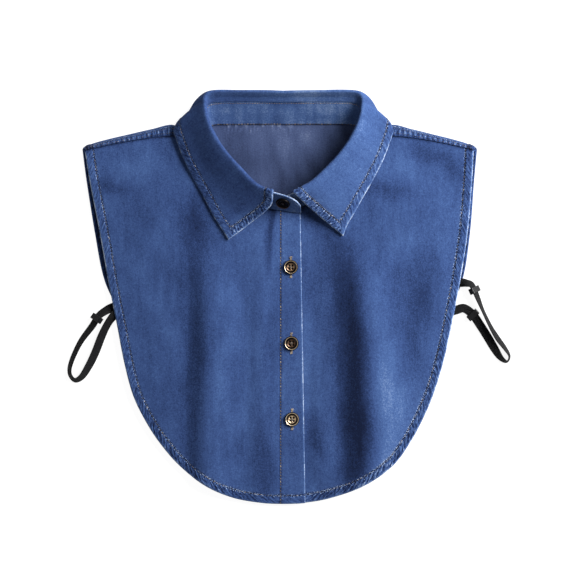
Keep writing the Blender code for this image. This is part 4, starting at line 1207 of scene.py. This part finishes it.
def band_route(rows, side, share, steps=12):
    """Middle line, width direction and face direction of a band."""
    outer = through(OUTLINE, np.arange((len(OUTLINE) - 1) * 8) / 8)
    row = outer[np.nonzero(outer[:, 0] >= share)[0][0]]
    anchor = (side * row[COLUMN[("front", side)]] * HALF_WIDTH, SHOULDER_Y - share * BIB_LENGTH)
    out, down_by, lift, roll = through(rows, np.arange((len(rows) - 1) * steps + 1) / steps).T
    roll = np.radians(roll)
    level = GAP + STRAP_WIDTH / 2 * np.sin(np.abs(roll)) + STRAP_THICK / 2 * np.cos(roll)
    route = np.stack([anchor[0] + side * out * STRAP_REACH, anchor[1] - down_by * STRAP_REACH,
                      level + np.maximum(lift, 0) * STRAP_THICK], -1)
    ahead = np.gradient(route, axis=0)
    ahead = ahead / np.linalg.norm(ahead, axis=1, keepdims=True)
    flat = np.stack([ahead[:, 1], -ahead[:, 0], 0 * out], -1)
    flat = flat / np.linalg.norm(flat, axis=1, keepdims=True)
    up = np.cross(flat, ahead)
    across = flat * np.cos(roll)[:, None] + up * (np.sin(roll) * side)[:, None]
    face = np.cross(across, ahead)
    return route, ahead, across, face / np.linalg.norm(face, axis=1, keepdims=True)


def make_band(name, rows, side, share):
    """Elastic band along its route."""
    route, ahead, across, face = band_route(rows, side, share)
    run = lengths(route)
    wide = np.linspace(-1, 1, 13)
    section = [(w, 1 - 0.5 * abs(w) ** 8) for w in wide]
    section += [(w, -(1 - 0.5 * abs(w) ** 8)) for w in wide[::-1]]
    verts, lay, faces = [], [], []
    for k in range(len(route)):
        for w, t in section:
            rib = 1 + 0.08 * math.cos(w * 6 * math.pi)
            verts.append(route[k] + across[k] * w * STRAP_WIDTH / 2 + face[k] * t * rib * STRAP_THICK / 2)
            lay.append((w * STRAP_WIDTH / 2, run[k], 0))
    size = len(section)
    for k in range(len(route) - 1):
        for j in range(size):
            n = (j + 1) % size
            faces.append((k * size + j, k * size + n, (k + 1) * size + n, (k + 1) * size + j))
    faces.append(tuple(range(size)))
    faces.append(tuple(range((len(route) - 1) * size, len(route) * size))[::-1])
    mesh = bpy.data.meshes.new(name)
    mesh.from_pydata(verts, [], faces)
    put(mesh, "thread", "FLOAT_VECTOR", lay)
    mesh.materials.append(elastic)
    mesh.shade_smooth()
    strip_object = bpy.data.objects.new(name, mesh)
    scene.collection.objects.link(strip_object)
    print(name, "length mm", round(run[-1] * 1000))
    return strip_object


left_band = make_band("strap_left_elastic", LEFT_BAND, LEFT, 0.440)
right_band = make_band("strap_right_elastic", RIGHT_BAND, RIGHT, 0.435)

# %% [markdown]
# ## Ride and light
# Everything is sewn together, so each piece rides on the one body. The floor is a plain
# pale table, and one large soft light stands at the upper right.

# %% Sliders
for node in ("slider_left", "keeper_right", "slider_right"):
    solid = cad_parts[node]
    solid.data.materials.clear()
    solid.data.materials.append(plastic)

# %% Ride
REPLACED = {
    back: ("back_panel", "denim_back"), front_right: ("front_right", "denim"),
    front_left: ("front_left", "denim"), band: ("collar_stand", "denim"),
    leaf: ("collar_leaf", "denim"), left_band: ("strap_left", "black_elastic"),
    right_band: ("strap_right", "black_elastic")}
for (button, _, _, _), node in zip(buttons, BUTTONS):
    REPLACED[button] = (node, "antique_gold")
for piece, (node, slot) in REPLACED.items():
    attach(piece, "root")
    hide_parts(node)
trims = [*right_threads, *left_threads, back_threads, band_threads, leaf_threads, buttonholes]
trims += [ties for _, ties, _, _ in buttons]
for piece in trims:
    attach(piece, "root")

# %% Floor and light
floor_material, tree, shader = start_material("floor", 0.9, specular=0.1)
shader.inputs["Base Color"].default_value = (0.22, 0.22, 0.22, 1)
shader.inputs["Emission Color"].default_value = (1, 1, 1, 1)
shader.inputs["Emission Strength"].default_value = 0.92
bpy.ops.mesh.primitive_plane_add(size=6, location=(0, 0, -0.0001))
floor = bpy.context.object
floor.name = "floor"
floor.data.materials.append(floor_material)


def soft_light(name, place, target, size, watts, color=(1, 1, 1)):
    """Square area light that faces a target."""
    lamp = bpy.data.lights.new(name, "AREA")
    lamp.shape = "SQUARE"
    lamp.size = size
    lamp.energy = watts
    lamp.color = color
    thing = bpy.data.objects.new(name, lamp)
    scene.collection.objects.link(thing)
    thing.location = place
    thing.rotation_euler = (Vector(target) - Vector(place)).to_track_quat("-Z", "Y").to_euler()


soft_light("key_light", (1.25, 0.70, 0.95), (0, 0, 0), 1.0, 79)
soft_light("fill_light", (-0.6, -0.4, 2.2), (0, 0, 0), 2.2, 6)
world = bpy.data.worlds.new("studio")
world.use_nodes = True
world.node_tree.nodes["Background"].inputs[0].default_value = (1, 1, 1, 1)
world.node_tree.nodes["Background"].inputs[1].default_value = 0.20
scene.world = world
scene.view_settings.view_transform = "Standard"
print("lights placed")
